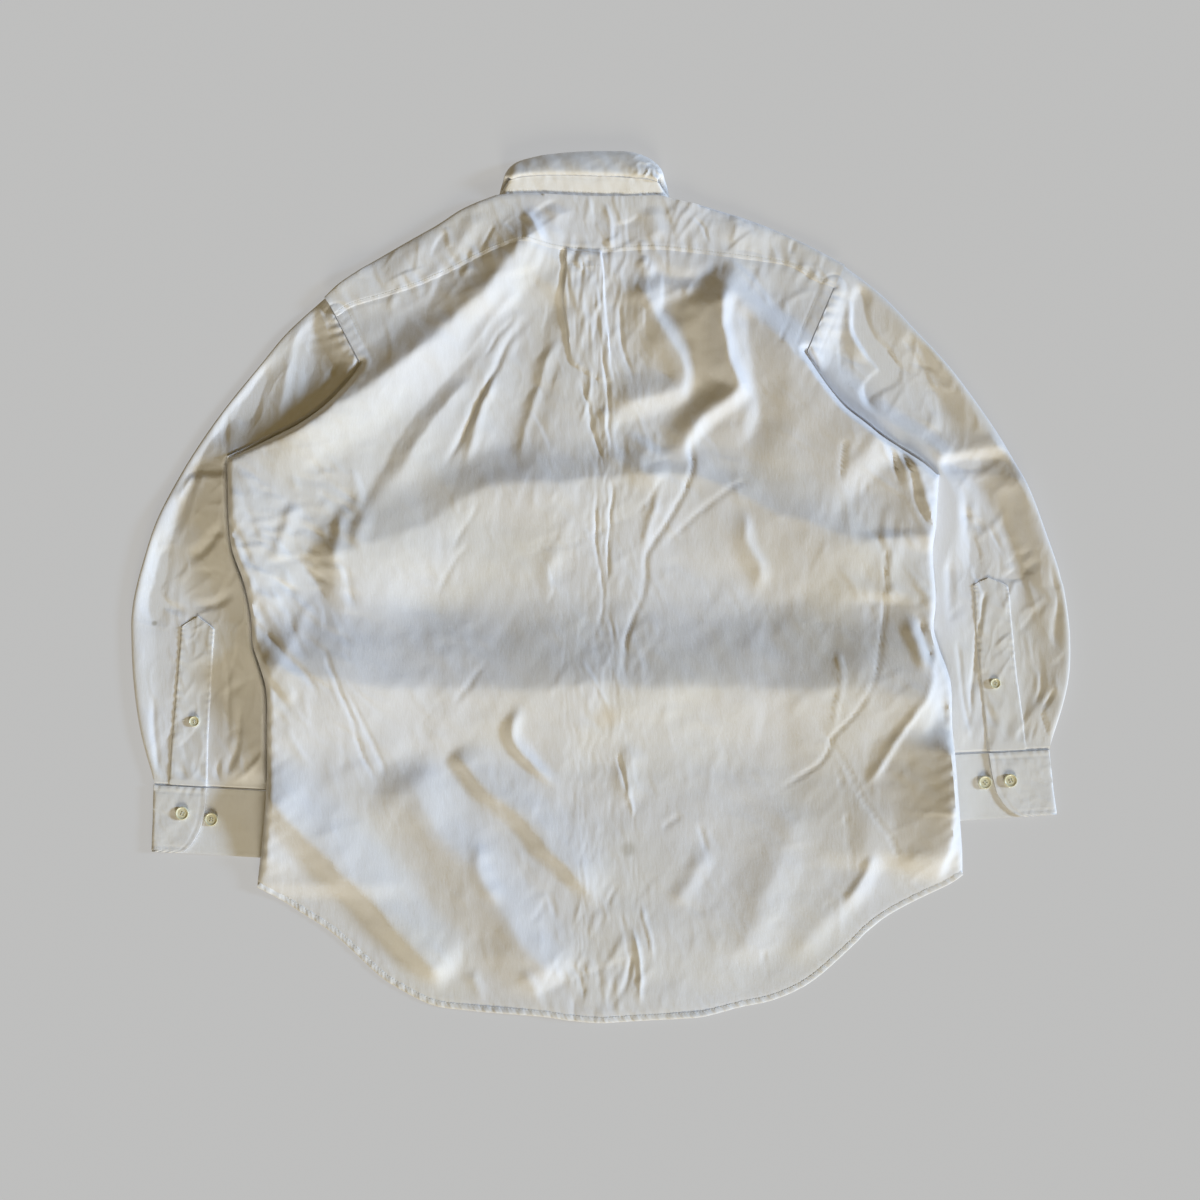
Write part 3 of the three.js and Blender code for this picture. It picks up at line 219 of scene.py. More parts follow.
SLEEVE_L_FOLDS = [
    (-2, 10, 14, 1.3, .2, .3, [(-280, 260), (-292, 226), (-302, 180), (-307, 144)]),   # wedge valley
    (1.6, 24, 12, 1.6, .2, .3, [(-266, 256), (-275, 207), (-283, 161)]),   # wedge crest
    (2.4, 8, 10, 1.5, .2, .4, [(-258, 267), (-247, 245), (-241, 224)]),   # head fold 1
    (-2, 6, 7, 1.3, .2, .4, [(-270, 269), (-260, 252), (-255, 237)]),   # head fold 2
    (3, 16, 18, 1.7, .3, .3, [(-314, 226), (-331, 178), (-336, 140)]),   # soft 1
    (2.4, 12, 15, 1.7, .3, .3, [(-346, 190), (-355, 150), (-359, 129)]),   # soft 2
    (-2.6, 8, 8, 1.3, .3, .3, [(-384, 108), (-392, 95), (-401, 79)]),   # dark notch
    (2.2, 10, 12, 1.6, .3, .3, [(-375, 129), (-393, 83), (-408, 45)]),   # outer fold
    (3, 18, 16, 1.7, .3, .3, [(-416, 64), (-424, 7), (-426, -50)]),   # mid ridge
    (1.6, 6, 6, 1.3, .3, .3, [(-355, -50), (-352, -97), (-353, -145)]),   # by placket 1
    (1.8, 6, 8, 1.4, .3, .2, [(-338, -107), (-344, -150), (-355, -183)]),   # by placket 2
    (1.4, 5, 5, 1.3, .3, .2, [(-426, -97), (-422, -140), (-418, -183)]),   # by placket 3
    (-2, 4, 5, 1.1, .2, .2, [(-371, -181), (-348, -185), (-327, -168), (-313, -152)]),   # cuff pleat
    (1.5, 5, 5, 1.3, .5, .1, [(-342, -154), (-336, -171), (-332, -190)]),   # gather 1
    (1.3, 4, 5, 1.3, .5, .1, [(-359, -156), (-361, -173), (-359, -190)]),   # gather 2
    (2.2, 9, 11, 1.6, .3, .3, [(-350, 64), (-375, 38), (-397, 26)]),   # elbow 1
    (1.8, 8, 9, 1.6, .3, .3, [(-344, -2), (-367, -16), (-390, -18)]),   # elbow 2
    (1.5, 7, 7, 1.5, .3, .3, [(-428, -2), (-410, -18), (-391, -23)]),   # elbow 3
    (1.6, 7, 7, 1.5, .3, .3, [(-236, 228), (-249, 205), (-268, 186)]),   # head 3
]
SLEEVE_R_FOLDS = [
    (5.5, 15, 11, 1.5, .15, .25, [(253, 292), (243, 258), (256, 230), (274, 205), (253, 184), (260, 148)]),   # s ridge
    (-3, 9, 12, 1.4, .2, .3, [(238, 273), (236, 245), (249, 224), (258, 209)]),   # s valley
    (-4.4, 24, 8, 1.3, .15, .25, [(304, 112), (332, 128), (380, 133), (403, 129)]),   # cross valley
    (3.2, 8, 22, 1.5, .15, .3, [(310, 104), (334, 118), (380, 121), (399, 112)]),   # cross crest
    (3, 16, 20, 1.7, .3, .3, [(290, 245), (318, 197), (342, 150)]),   # soft 1
    (2.2, 12, 12, 1.6, .3, .3, [(342, 102), (352, 45), (356, 7)]),   # soft 2
    (2.6, 14, 16, 1.7, .3, .3, [(380, 102), (397, 45), (407, -12)]),   # soft 3
    (2.4, 9, 9, 1.5, .2, .3, [(331, 74), (329, 17), (332, -40)]),   # edge run
    (2, 5, 6, 1.2, .2, .1, [(337, -50), (344, -101), (353, -133)]),   # v 1
    (1.8, 5, 5, 1.2, .1, .2, [(367, -2), (357, -59), (352, -132)]),   # v 2
    (-1.8, 4, 4, 1.1, .2, .2, [(353, -133), (344, -143), (335, -152)]),   # v 3
    (1.8, 4, 4, 1.1, .2, .2, [(417, -118), (426, -109), (433, -98)]),   # v 4
    (1.8, 4, 4, 1.1, .2, .2, [(417, -119), (422, -135), (426, -152)]),   # v 5
    (2, 8, 8, 1.5, .3, .3, [(428, 26), (433, -21), (431, -69)]),   # outer 1
    (1.4, 6, 6, 1.4, .3, .3, [(414, -50), (420, -88), (414, -118)]),   # outer 2
    (1.3, 5, 5, 1.3, .4, .1, [(344, -128), (348, -141), (346, -156)]),   # gather 1
    (1.2, 4, 4, 1.3, .4, .1, [(412, -128), (410, -141), (412, -152)]),   # gather 2
    (2, 8, 10, 1.6, .3, .3, [(329, 83), (353, 64), (372, 57)]),   # elbow 1
    (1.5, 7, 8, 1.5, .3, .3, [(418, 26), (399, 11), (378, 7)]),   # elbow 2
    (2, 8, 8, 1.5, .2, .4, [(234, 296), (230, 268), (224, 245)]),   # head 1
    (1.6, 6, 7, 1.4, .2, .4, [(226, 273), (215, 248), (203, 229)]),   # head 2
]

# ------------------------------------------------------------------ helpers
def clip01(t):
    return np.clip(t, 0.0, 1.0)


def smooth(t):
    t = clip01(np.asarray(t, float))
    return t * t * (3 - 2 * t)


def lerp(a, b, t):
    return a + (b - a) * t


def curve(pts, step=None, n=None):
    """Catmull-Rom through the points, evenly spaced: every step mm, or n points."""
    p = np.asarray(pts, float)
    if len(p) == 2:
        fine = p[0] + (p[1] - p[0]) * np.linspace(0, 1, 24)[:, None]
    else:
        q = np.vstack([2 * p[0] - p[1], p, 2 * p[-1] - p[-2]])
        t = np.linspace(0, 1, 16, endpoint=False)[:, None]
        out = []
        for i in range(1, len(q) - 2):
            a, b, c, d = q[i - 1], q[i], q[i + 1], q[i + 2]
            out.append(0.5 * (2 * b + (c - a) * t + (2 * a - 5 * b + 4 * c - d) * t ** 2 + (3 * b - a - 3 * c + d) * t ** 3))
        out.append(p[-1:])
        fine = np.vstack(out)
    s = np.r_[0, np.cumsum(np.linalg.norm(np.diff(fine[:, :2], axis=0), axis=1))]
    if n is None:
        n = max(3, int(round(s[-1] / step)) + 1)
    w = np.linspace(0, s[-1], n)
    return np.stack([np.interp(w, s, fine[:, k]) for k in range(p.shape[1])], 1)


def length(line):
    return float(np.linalg.norm(np.diff(np.asarray(line, float)[:, :2], axis=0), axis=1).sum())


def at(line, x):
    line = np.asarray(line, float)
    return np.interp(x, line[:, 0], line[:, 1])


def noise(x, y, seed=0):
    """Gradient noise, about -1 to 1."""
    x, y = np.asarray(x, float), np.asarray(y, float)
    ix, iy = np.floor(x).astype(np.int64), np.floor(y).astype(np.int64)
    fx, fy = x - ix, y - iy

    def grad(jx, jy, dx, dy):
        h = (jx * 374761393 + jy * 668265263 + (seed + 11) * 2246822519) & 0xFFFFFFFF
        h = ((h ^ (h >> 13)) * 1274126177) & 0xFFFFFFFF
        a = ((h ^ (h >> 16)) & 0xFFFF) * (2 * math.pi / 65536)
        return np.cos(a) * dx + np.sin(a) * dy

    u, v = fx ** 3 * (fx * (fx * 6 - 15) + 10), fy ** 3 * (fy * (fy * 6 - 15) + 10)
    n0 = lerp(grad(ix, iy, fx, fy), grad(ix + 1, iy, fx - 1, fy), u)
    n1 = lerp(grad(ix, iy + 1, fx, fy - 1), grad(ix + 1, iy + 1, fx - 1, fy - 1), u)
    return lerp(n0, n1, v) * 1.5


def fbm(x, y, seed=0, octaves=3, gain=0.5):
    z, a, f = 0.0, 1.0, 1.0
    for k in range(octaves):
        z = z + a * noise(x * f, y * f, seed + k * 17)
        a *= gain
        f *= 2.03
    return z


def to_line(x, y, line, reach=1e9):
    """Signed distance (left is +) to a polyline and the share of its length; points
    farther than reach from its box keep a large distance."""
    line = np.asarray(line, float)
    shape = np.shape(x)
    x, y = np.ravel(np.asarray(x, float)), np.ravel(np.asarray(y, float))
    best, side, share = np.full(x.shape, 1e9), np.ones(x.shape), np.zeros(x.shape)
    m = np.nonzero((x > line[:, 0].min() - reach) & (x < line[:, 0].max() + reach)
                   & (y > line[:, 1].min() - reach) & (y < line[:, 1].max() + reach))[0]
    px, py = x[m], y[m]
    b, sd, sh = np.full(px.shape, 1e9), np.ones(px.shape), np.zeros(px.shape)
    seg = np.linalg.norm(np.diff(line[:, :2], axis=0), axis=1)
    total, run = seg.sum(), 0.0
    for i in range(len(seg)):
        ax, ay = line[i, :2]
        dx, dy = line[i + 1, :2] - line[i, :2]
        l2 = max(dx * dx + dy * dy, 1e-12)
        f = ((px - ax) * dx + (py - ay) * dy) / l2
        if i > 0:
            f = np.maximum(f, 0)
        if i < len(seg) - 1:
            f = np.minimum(f, 1)
        g = np.clip(f, 0, 1)
        d = np.hypot(px - ax - g * dx, py - ay - g * dy)
        near = d < b
        b[near] = d[near]
        sd[near] = np.where(dx * (py - ay) - dy * (px - ax) >= 0, 1.0, -1.0)[near]
        sh[near] = ((run + g * seg[i]) / total)[near]
        run += seg[i]
    best[m], side[m], share[m] = b, sd, sh
    return (best * side).reshape(shape), share.reshape(shape)


def folds(x, y, table):
    z = np.zeros(np.shape(x))
    for h, wl, wr, sharp, t0, t1, pts in table:
        line = curve(pts, step=5.0)
        d, t = to_line(x, y, line, max(wl, wr))
        q = clip01(np.abs(d) / np.where(d >= 0, wl, wr))
        if max(wl, wr) > 22:          # broad folds have a rounder crest
            q = np.sqrt(q * q + (3.2 / max(wl, wr)) ** 2 * (1 - q) ** 2)
        z += h * (1 - q ** sharp) ** 2 * smooth(t / t0) * smooth((1 - t) / t1)
    return z


def crease_table(seed, boxes):
    """Short creases strewn over boxes: x0, y0, x1, y1, count, height, lean, spread."""
    rng = np.random.RandomState(seed)
    out = []
    for x0, y0, x1, y1, count, high, lean, spread in boxes:
        for _ in range(count):
            a = math.radians(lean + spread * rng.uniform(-1, 1))
            half = rng.uniform(9, 30) * (.6 + .4 * rng.rand())
            out.append((rng.uniform(x0, x1), rng.uniform(y0, y1), math.cos(a), math.sin(a), half,
                        high * rng.uniform(.45, 1.1) * rng.choice([-1, 1, 1]), rng.uniform(2.8, 4.6), rng.uniform(1.5, 3.2), rng.uniform(-3, 3)))
    return out


def short_creases(x, y, table):
    z = np.zeros(np.shape(x))
    for cx, cy, c, s, half, high, wid, skew, bend in table:
        near = (np.abs(x - cx) < half + 8) & (np.abs(y - cy) < half + 8)
        if not near.any():
            continue
        dx, dy = x[near] - cx, y[near] - cy
        u = (dx * c + dy * s) / half
        d = -dx * s + dy * c + bend * (1 - u * u)
        q = np.where(d >= 0, d / wid, -d / (wid * skew))
        z[near] += high * np.clip(1 - q, 0, None) ** 1.35 * np.clip(1 - u * u, 0, None) ** .8
    return z


BODY_CREASES = crease_table(7, [
    (-330, -380, 330, 330, 220, .50, 60, 90),        # all over
    (-345, -20, -225, 115, 60, 1.35, -30, 50),        # under the left arm
    (-240, 262, 215, 365, 80, 1.10, 70, 60),          # yoke
    (-60, 100, 60, 320, 46, .80, 85, 35),            # beside the pleat
    (-70, -90, 70, 100, 40, .50, 80, 60),            # middle of the back
    (230, -20, 325, 140, 40, 1.10, 100, 45),          # under the right arm
    (-330, -150, -240, -10, 34, 1.0, -55, 35),       # left side
    (240, -270, 335, -60, 26, .55, 60, 40),          # right side
    (-60, -410, 60, -300, 30, .95, 85, 40),          # middle of the hem
])


# ------------------------------------------------------------------ meshes
def mesh_object(name, verts, quads=None, tris=None, material=None, sharp=55, mm=True, solid=False):
    """verts in mm; quads and tris are index arrays."""
    v = np.asarray(verts, float).reshape(-1, 3) * (0.001 if mm else 1.0)
    parts, sizes = [], []
    if quads is not None and len(quads):
        q = np.asarray(quads, np.int32).reshape(-1, 4)
        parts.append(q.ravel())
        sizes.append(np.full(len(q), 4, np.int32))
    if tris is not None and len(tris):
        t = np.asarray(tris, np.int32).reshape(-1, 3)
        parts.append(t.ravel())
        sizes.append(np.full(len(t), 3, np.int32))
    loops, sizes = np.concatenate(parts), np.concatenate(sizes)
    me = bpy.data.meshes.new(name)
    me.vertices.add(len(v))
    me.vertices.foreach_set("co", v.astype(np.float32).ravel())
    me.loops.add(len(loops))
    me.loops.foreach_set("vertex_index", loops)
    me.polygons.add(len(sizes))
    me.polygons.foreach_set("loop_start", np.r_[0, np.cumsum(sizes)[:-1]].astype(np.int32))
    me.update(calc_edges=True)
    me.validate()
    if solid:
        bm = bmesh.new()
        bm.from_mesh(me)
        bmesh.ops.recalc_face_normals(bm, faces=bm.faces)
        if bm.calc_volume(signed=True) < 0:
            bmesh.ops.reverse_faces(bm, faces=bm.faces)
        bm.to_mesh(me)
        bm.free()
    me.shade_smooth()
    if sharp:
        me.set_sharp_from_angle(angle=math.radians(sharp))
    ob = bpy.data.objects.new(name, me)
    bpy.context.scene.collection.objects.link(ob)
    if material:
        me.materials.append(material)
    return ob


def grid_quads(n, m, wrap=False, base=0):
    i = np.arange(n - 1)[:, None]
    j = np.arange(m if wrap else m - 1)[None, :]
    k = (j + 1) % m
    a, b, c, d = i * m + j, (i + 1) * m + j, (i + 1) * m + k, i * m + k
    return np.stack([a, b, c, d], -1).reshape(-1, 4) + base


def low_filter(z, r):
    out = z.copy()
    n, m = z.shape
    for a in range(-r, r + 1):
        for b in range(-r, r + 1):
            i, j = np.clip(np.arange(n) + a, 0, n - 1), np.clip(np.arange(m) + b, 0, m - 1)
            out = np.minimum(out, z[np.ix_(i, j)])
    return out


def shell(name, top, thick, material, coarse=1, sharp=55, under=None):
    """Closed thin shell under a grid of top points. The underside is coarse times
    wider in its mesh, and always below the top."""
    n, m = top.shape[:2]
    c = coarse
    if under is None:
        low = top.copy()
        low[..., 2] -= thick
        if c > 1:
            z = low_filter(top[..., 2], c - 1) - thick
            rim = np.ones((n, m), bool)
            rim[1:-1, 1:-1] = False
            low[..., 2] = np.where(rim, low[..., 2], z)
    else:
        low = under
    low = low[::c, ::c]
    nn, mm_ = low.shape[:2]
    q_top = grid_quads(n, m)
    q_low = grid_quads(nn, mm_, base=n * m)[:, ::-1]
    tris = []

    def border(fine, rough):
        for k in range(len(rough) - 1):
            f = fine[k * c:(k + 1) * c + 1]
            h = (c + 1) // 2
            for q in range(c):
                tris.append((f[q], rough[k] if q < h else rough[k + 1], f[q + 1]))
            tris.append((f[h], rough[k], rough[k + 1]))

    ft = lambda i, j: i * m + j
    fl = lambda i, j: n * m + i * mm_ + j
    border([ft(0, j) for j in range(m)], [fl(0, j) for j in range(mm_)])
    border([ft(n - 1, j) for j in range(m - 1, -1, -1)], [fl(nn - 1, j) for j in range(mm_ - 1, -1, -1)])
    border([ft(i, 0) for i in range(n - 1, -1, -1)], [fl(i, 0) for i in range(nn - 1, -1, -1)])
    border([ft(i, m - 1) for i in range(n)], [fl(i, mm_ - 1) for i in range(nn)])
    v = np.vstack([top.reshape(-1, 3), low.reshape(-1, 3)])
    return mesh_object(name, v, np.vstack([q_top, q_low]), tris, material, sharp, solid=True)


def tube(name, rows, material, sharp=50, ends=True):
    """Closed loops of points (n, m, 3) joined along n, with flat ends."""
    n, m = rows.shape[:2]
    v = rows.reshape(-1, 3)
    q = grid_quads(n, m, wrap=True)
    t = []
    if ends:
        v = np.vstack([v, rows[0].mean(0), rows[-1].mean(0)])
        for j in range(m):
            k = (j + 1) % m
            t.append((n * m, k, j))
            t.append((n * m + 1, (n - 1) * m + j, (n - 1) * m + k))
    return mesh_object(name, v, q, t, material, sharp, solid=ends)


def loft_wall(name, P, Q, material, wrap=False, sharp=50):
    """Closed wall between two grids."""
    n, m = P.shape[:2]
    nm = n * m
    v = np.vstack([P.reshape(-1, 3), Q.reshape(-1, 3)])
    if wrap:
        i = np.arange(n)[:, None]
        j = np.arange(m - 1)[None, :]
        k = (i + 1) % n
        a, b, c, d = i * m + j, k * m + j, k * m + j + 1, i * m + j + 1
        q = np.stack([a, b, c, d], -1).reshape(-1, 4)
        rims = [(ii * m, ii * m + nm, ((ii + 1) % n) * m + nm, ((ii + 1) % n) * m) for ii in range(n)]
        rims += [(ii * m + m - 1, ((ii + 1) % n) * m + m - 1, ((ii + 1) % n) * m + m - 1 + nm, ii * m + m - 1 + nm) for ii in range(n)]
    else:
        q = grid_quads(n, m)
        rims = []
        for ii in range(n - 1):
            rims.append((ii * m, ii * m + nm, (ii + 1) * m + nm, (ii + 1) * m))
            rims.append((ii * m + m - 1, (ii + 1) * m + m - 1, (ii + 1) * m + m - 1 + nm, ii * m + m - 1 + nm))
        for jj in range(m - 1):
            rims.append((jj, jj + 1, jj + 1 + nm, jj + nm))
            o = (n - 1) * m
            rims.append((o + jj, o + jj + nm, o + jj + 1 + nm, o + jj + 1))
    quads = np.vstack([q, q[:, ::-1] + nm, np.array(rims)])
    return mesh_object(name, v, quads, None, material, sharp, solid=True)


# ------------------------------------------------------------------ heights
def inner_x(table, cuff, y):
    pts = [(r[3], r[2]) for r in table] + [(r[3], r[2]) for r in cuff]
    ys, xs = np.array([p[0] for p in pts])[::-1], np.array([p[1] for p in pts])[::-1]
    o = np.argsort(ys)
    return np.interp(y, ys[o], xs[o])


def side_lift(left, y, more=0.0):
    if left:
        return COVER * smooth((266 - y) / 46) * smooth((y + 286 + more) / 20)
    return COVER * smooth((296 - y) / 56) * smooth((y + 258 + more) / 22)


def collar_lift(x, y, spread):
    return COLLAR_LIFT * smooth((y - 224 + spread) / 16) * smooth((120 + spread - np.abs(x + 15)) / 16)


def neck_lift(x, y):
    return NECK_ROOM * smooth((y - 282) / 15) * smooth((97 - np.abs(x + 15)) / 13)


def mid_x(y):
    return -15 + 22 * (300 - y) / 710


def back_floor(x, y):
    """What the back lies on, smoothed so that nothing under it prints through."""
    left = side_lift(True, y, 12) * smooth((inner_x(SLEEVE_L, CUFF_L, y) + 150 - x) / 100)
    right = side_lift(False, y, 12) * smooth((x - inner_x(SLEEVE_R, CUFF_R, y) + 150) / 100)
    centre = STAND_Z * smooth((150 - np.abs(x - mid_x(y))) / 112)
    collar = COLLAR_LIFT * smooth((y - 150) / 60) * smooth((190 - np.abs(x + 15)) / 80)
    neck = NECK_ROOM * smooth((y - 235) / 50) * smooth((190 - np.abs(x + 15)) / 92)
    z = np.maximum.reduce([left, right, centre, collar, neck])
    return z + WALL + LAYER


SIDE_LINE_L = np.vstack([curve(UNDER_L, step=3), curve(SIDE_L, step=4)[1:]])
SIDE_LINE_R = np.vstack([curve(UNDER_R, step=3), curve(SIDE_R, step=4)[1:]])
SEAM_LINE = curve(YOKE_SEAM, step=3)
PLEAT_LINE_L, PLEAT_LINE_R = curve(PLEAT_L, step=3), curve(PLEAT_R, step=3)
HEM_LINE = curve(HEM, step=2.0)


DISH = 7.0                  # how much the two sides stand above the middle
LOFT = 3.2                  # how far the middle of the cloth stands off
FLAT_K = 1.3                # how softly hollows come to rest on the layers under them


def puckers(s, d, pitch, seed, lean=0.0):
    """Uneven ripples across a seam: s along it, d from it."""
    w = s + lean * d + 2.2 * noise(s / (pitch * 3.1), d / 30 + seed, seed + 3)
    a = 0.55 + 0.6 * noise(s / (pitch * 2.3) + 9.1, seed * 1.7, seed)
    return a * np.sin(2 * math.pi * w / pitch) + 0.5 * noise(s / (pitch * .55), d / 14, seed + 7)


def body_height(x, y, parts=True):
    """Top surface of the back and yoke."""
    x, y = np.asarray(x, float), np.asarray(y, float)
    base = back_floor(x, y) + CLOTH
    wx = x + 5 * noise(x / 60, y / 60, 41) + 1.2 * noise(x / 17, y / 17, 43)
    wy = y + 5 * noise(x / 60 + 7, y / 60, 42) + 1.2 * noise(x / 17, y / 17 + 5, 44)
    dl, tl = to_line(x, y, SIDE_LINE_L, 60)
    dr, tr = to_line(x, y, SIDE_LINE_R, 60)
    dh, th = to_line(x, y, HEM_LINE, 60)
    edge = np.minimum(np.abs(dl), np.abs(dr))
    rim = smooth(edge / 12 + .25) * smooth(np.abs(dh) / 42 + .10)
    f = folds(wx, wy, BODY_FOLDS)
    loft = LOFT * (.5 + .5 * smooth(edge / 5)) * smooth(np.abs(dh) / 80 + .04) * (.45 + .55 * smooth((330 - y) / 50))
    dish = 3.5 * smooth(1 - edge / 60) * smooth((y + 300) / 40) * smooth((200 - y) / 80)
    dish += DISH * (np.hypot(x, 40) - 40) / 300 * smooth(np.abs(dh) / 90)
    z = loft + dish + f * rim
    # broad unevenness, rumples and fine crushing
    ang = noise(x / 140, y / 140, 5)
    z += 1.3 * fbm(x / 95, y / 80, 1, 2) * rim
    z = base + FLAT_K * np.logaddexp(0, z / FLAT_K) - .3
    rumple = fbm((x + 14 * noise(x / 70, y / 70, 6)) / 34, (y + 14 * noise(x / 60, y / 60, 8)) / 46, 9, 3, .55)
    z += 0.5 * rumple * rim
    ridged = 1 - np.abs(noise((x + 9 * noise(x / 24, y / 24, 12)) / 21, (y + 9 * noise(x / 22, y / 22, 13)) / 44, 14))
    z += 0.22 * smooth((ridged - .72) / .28) * smooth(.5 + 1.5 * noise(x / 120, y / 120, 15)) * rim
    mid = np.exp(-((x - 6 - .02 * y) / 34) ** 2)
    crush = noise(x / 5.5 + 2 * noise(x / 30, y / 30, 20), y / 34, 21) + .5 * noise(x / 3.4, y / 20, 22)
    z += mid * (0.42 * crush) * smooth((y + 420) / 60)
    if parts:
        z += short_creases(x, y, BODY_CREASES) * smooth(edge / 8)
    # rounded edge where the back turns down to its side seam
    z = base + (z - base) * (.10 + .90 * np.sqrt(1 - (1 - clip01(edge / 7.0)) ** 2))
    z -= 1.2 * (1 - np.sqrt(1 - (1 - clip01(edge / 4.0)) ** 2))
    # gathered look beside the two side seams
    s_l, s_r = tl * length(SIDE_LINE_L), tr * length(SIDE_LINE_R)
    z += 0.75 * puckers(s_l, np.abs(dl), 15, 31, .8) * np.exp(-np.abs(dl) / 15) * smooth(np.abs(dl) / 3)
    z += 0.6 * puckers(s_r, np.abs(dr), 13, 32, -.6) * np.exp(-np.abs(dr) / 12) * smooth(np.abs(dr) / 3)
    # hem: thin fold with short ripples above the stitching
    s_h = th * length(HEM_LINE)
    z += 0.5 * puckers(s_h, np.abs(dh), 11, 33, .5) * np.exp(-np.abs(dh) / 10)
    z -= 0.9 * smooth(1 - np.abs(dh) / 9)
    # yoke seam: ripples on both sides of it
    dy, ty = to_line(x, y, SEAM_LINE, 60)
    s_y = ty * length(SEAM_LINE)
    up = dy > 0
    z += np.where(up, 0.75, 0.55) * puckers(s_y, np.abs(dy), 13, 34, .25) * np.exp(-np.abs(dy) / np.where(up, 13, 9))
    # seam line sinks a little
    z -= 0.7 * np.exp(-(dy / 2.2) ** 2)
    # box pleat: a strip standing on its two folded edges
    pl, pt = to_line(x, y, PLEAT_LINE_L, 90)
    pr, _ = to_line(x, y, PLEAT_LINE_R, 90)
    gone = smooth((y - 170) / 70) * (y < 330)
    inside = smooth((pl) / 1.3 + .5) * smooth((-pr) / 1.3 + .5)
    below = np.where(dy < 0, 1.0, smooth(1 - dy / 1.2))
    z += 2.3 * inside * gone * below
    z -= 1.3 * np.exp(-((pl + 3.2) / 2.6) ** 2) * smooth((y - 225) / 40) * below
    z += 0.8 * inside * below * (noise(x / 6.5, y / 30, 51) + .6 * noise(x / 4, y / 18, 52)) * gone
    star = np.hypot(x + 16, y - 304)
    th_ = np.arctan2(y - 304, x + 16)
    z += 0.8 * inside * below * np.exp(-(star / 13) ** 2) * np.sin(5 * th_ + star / 6)
    # armhole seams: a flat felled band 12 mm wide, rippled
    for arm, sgn, seed in ((ARM_L, 1, 61), (ARM_R, -1, 62)):
        da, ta = to_line(x, y, np.asarray(arm, float), 60)
        da = np.abs(da)
        sa = ta * length(arm)
        z += 0.45 * puckers(sa, da, 9, seed, .2) * np.exp(-((da - 6) / 6) ** 2)
        z += 0.35 * smooth(1 - (da - 12) / 1.2) * smooth((60 - da) / 20) * 0
        z -= 0.55 * np.exp(-((da - 12.2) / 1.3) ** 2) * smooth((y - (208 if sgn > 0 else 216)) / 6)
    return z


# ------------------------------------------------------------------ sleeves
def rows_at(table, k):
    """Section values at any place k along the table."""
    t = np.array([[v if v is not None else np.nan for v in r] for r in table], float)
    k = np.asarray(k, float)
    i = np.clip(np.floor(k).astype(int), 0, len(t) - 2)
    f = (k - i)[..., None]
    p = lambda q: t[np.clip(i + q, 0, len(t) - 1)][..., :7]
    a, b, c, d = p(-1), p(0), p(1), p(2)
    a = np.where(np.isnan(a), b, a)
    d = np.where(np.isnan(d), c, d)
    cr = 0.5 * (2 * b + (c - a) * f + (2 * a - 5 * b + 4 * c - d) * f ** 2 + (3 * b - a - 3 * c + d) * f ** 3)
    return cr


def edge_x(left, y):
    line = np.array((ARM_L + UNDER_L[1:] + SIDE_L[1:]) if left else (ARM_R + UNDER_R[1:] + SIDE_R[1:]), float)
    o = np.argsort(line[:, 1])
    return np.interp(y, line[o, 1], line[o, 0])


def shown_share(table, left, k):
    r = rows_at(table, k)
    f = np.linspace(0, 1, 201)
    x = lerp(r[..., 0:1], r[..., 2:3], f)
    y = lerp(r[..., 1:2], r[..., 3:4], f)
    e = edge_x(left, y)
    hit = (x >= e) if left else (x <= e)
    idx = np.where(hit.any(-1), hit.argmax(-1), 200)
    return f[idx]


BODY_LINE_L = curve(ARM_L + UNDER_L[1:] + SIDE_L[1:], step=4)

SLEEVE_CREASES = crease_table(11, [
    (-440, -190, -310, 10, 34, .55, 75, 50),
    (-430, 0, -300, 120, 22, .60, 40, 50),
    (-350, 110, -235, 270, 22, .70, 60, 50),
    (315, -150, 440, 20, 44, 1.0, 80, 45),
    (300, 20, 430, 130, 34, 1.0, 60, 60),
    (215, 130, 370, 290, 34, 1.0, 110, 60),
])


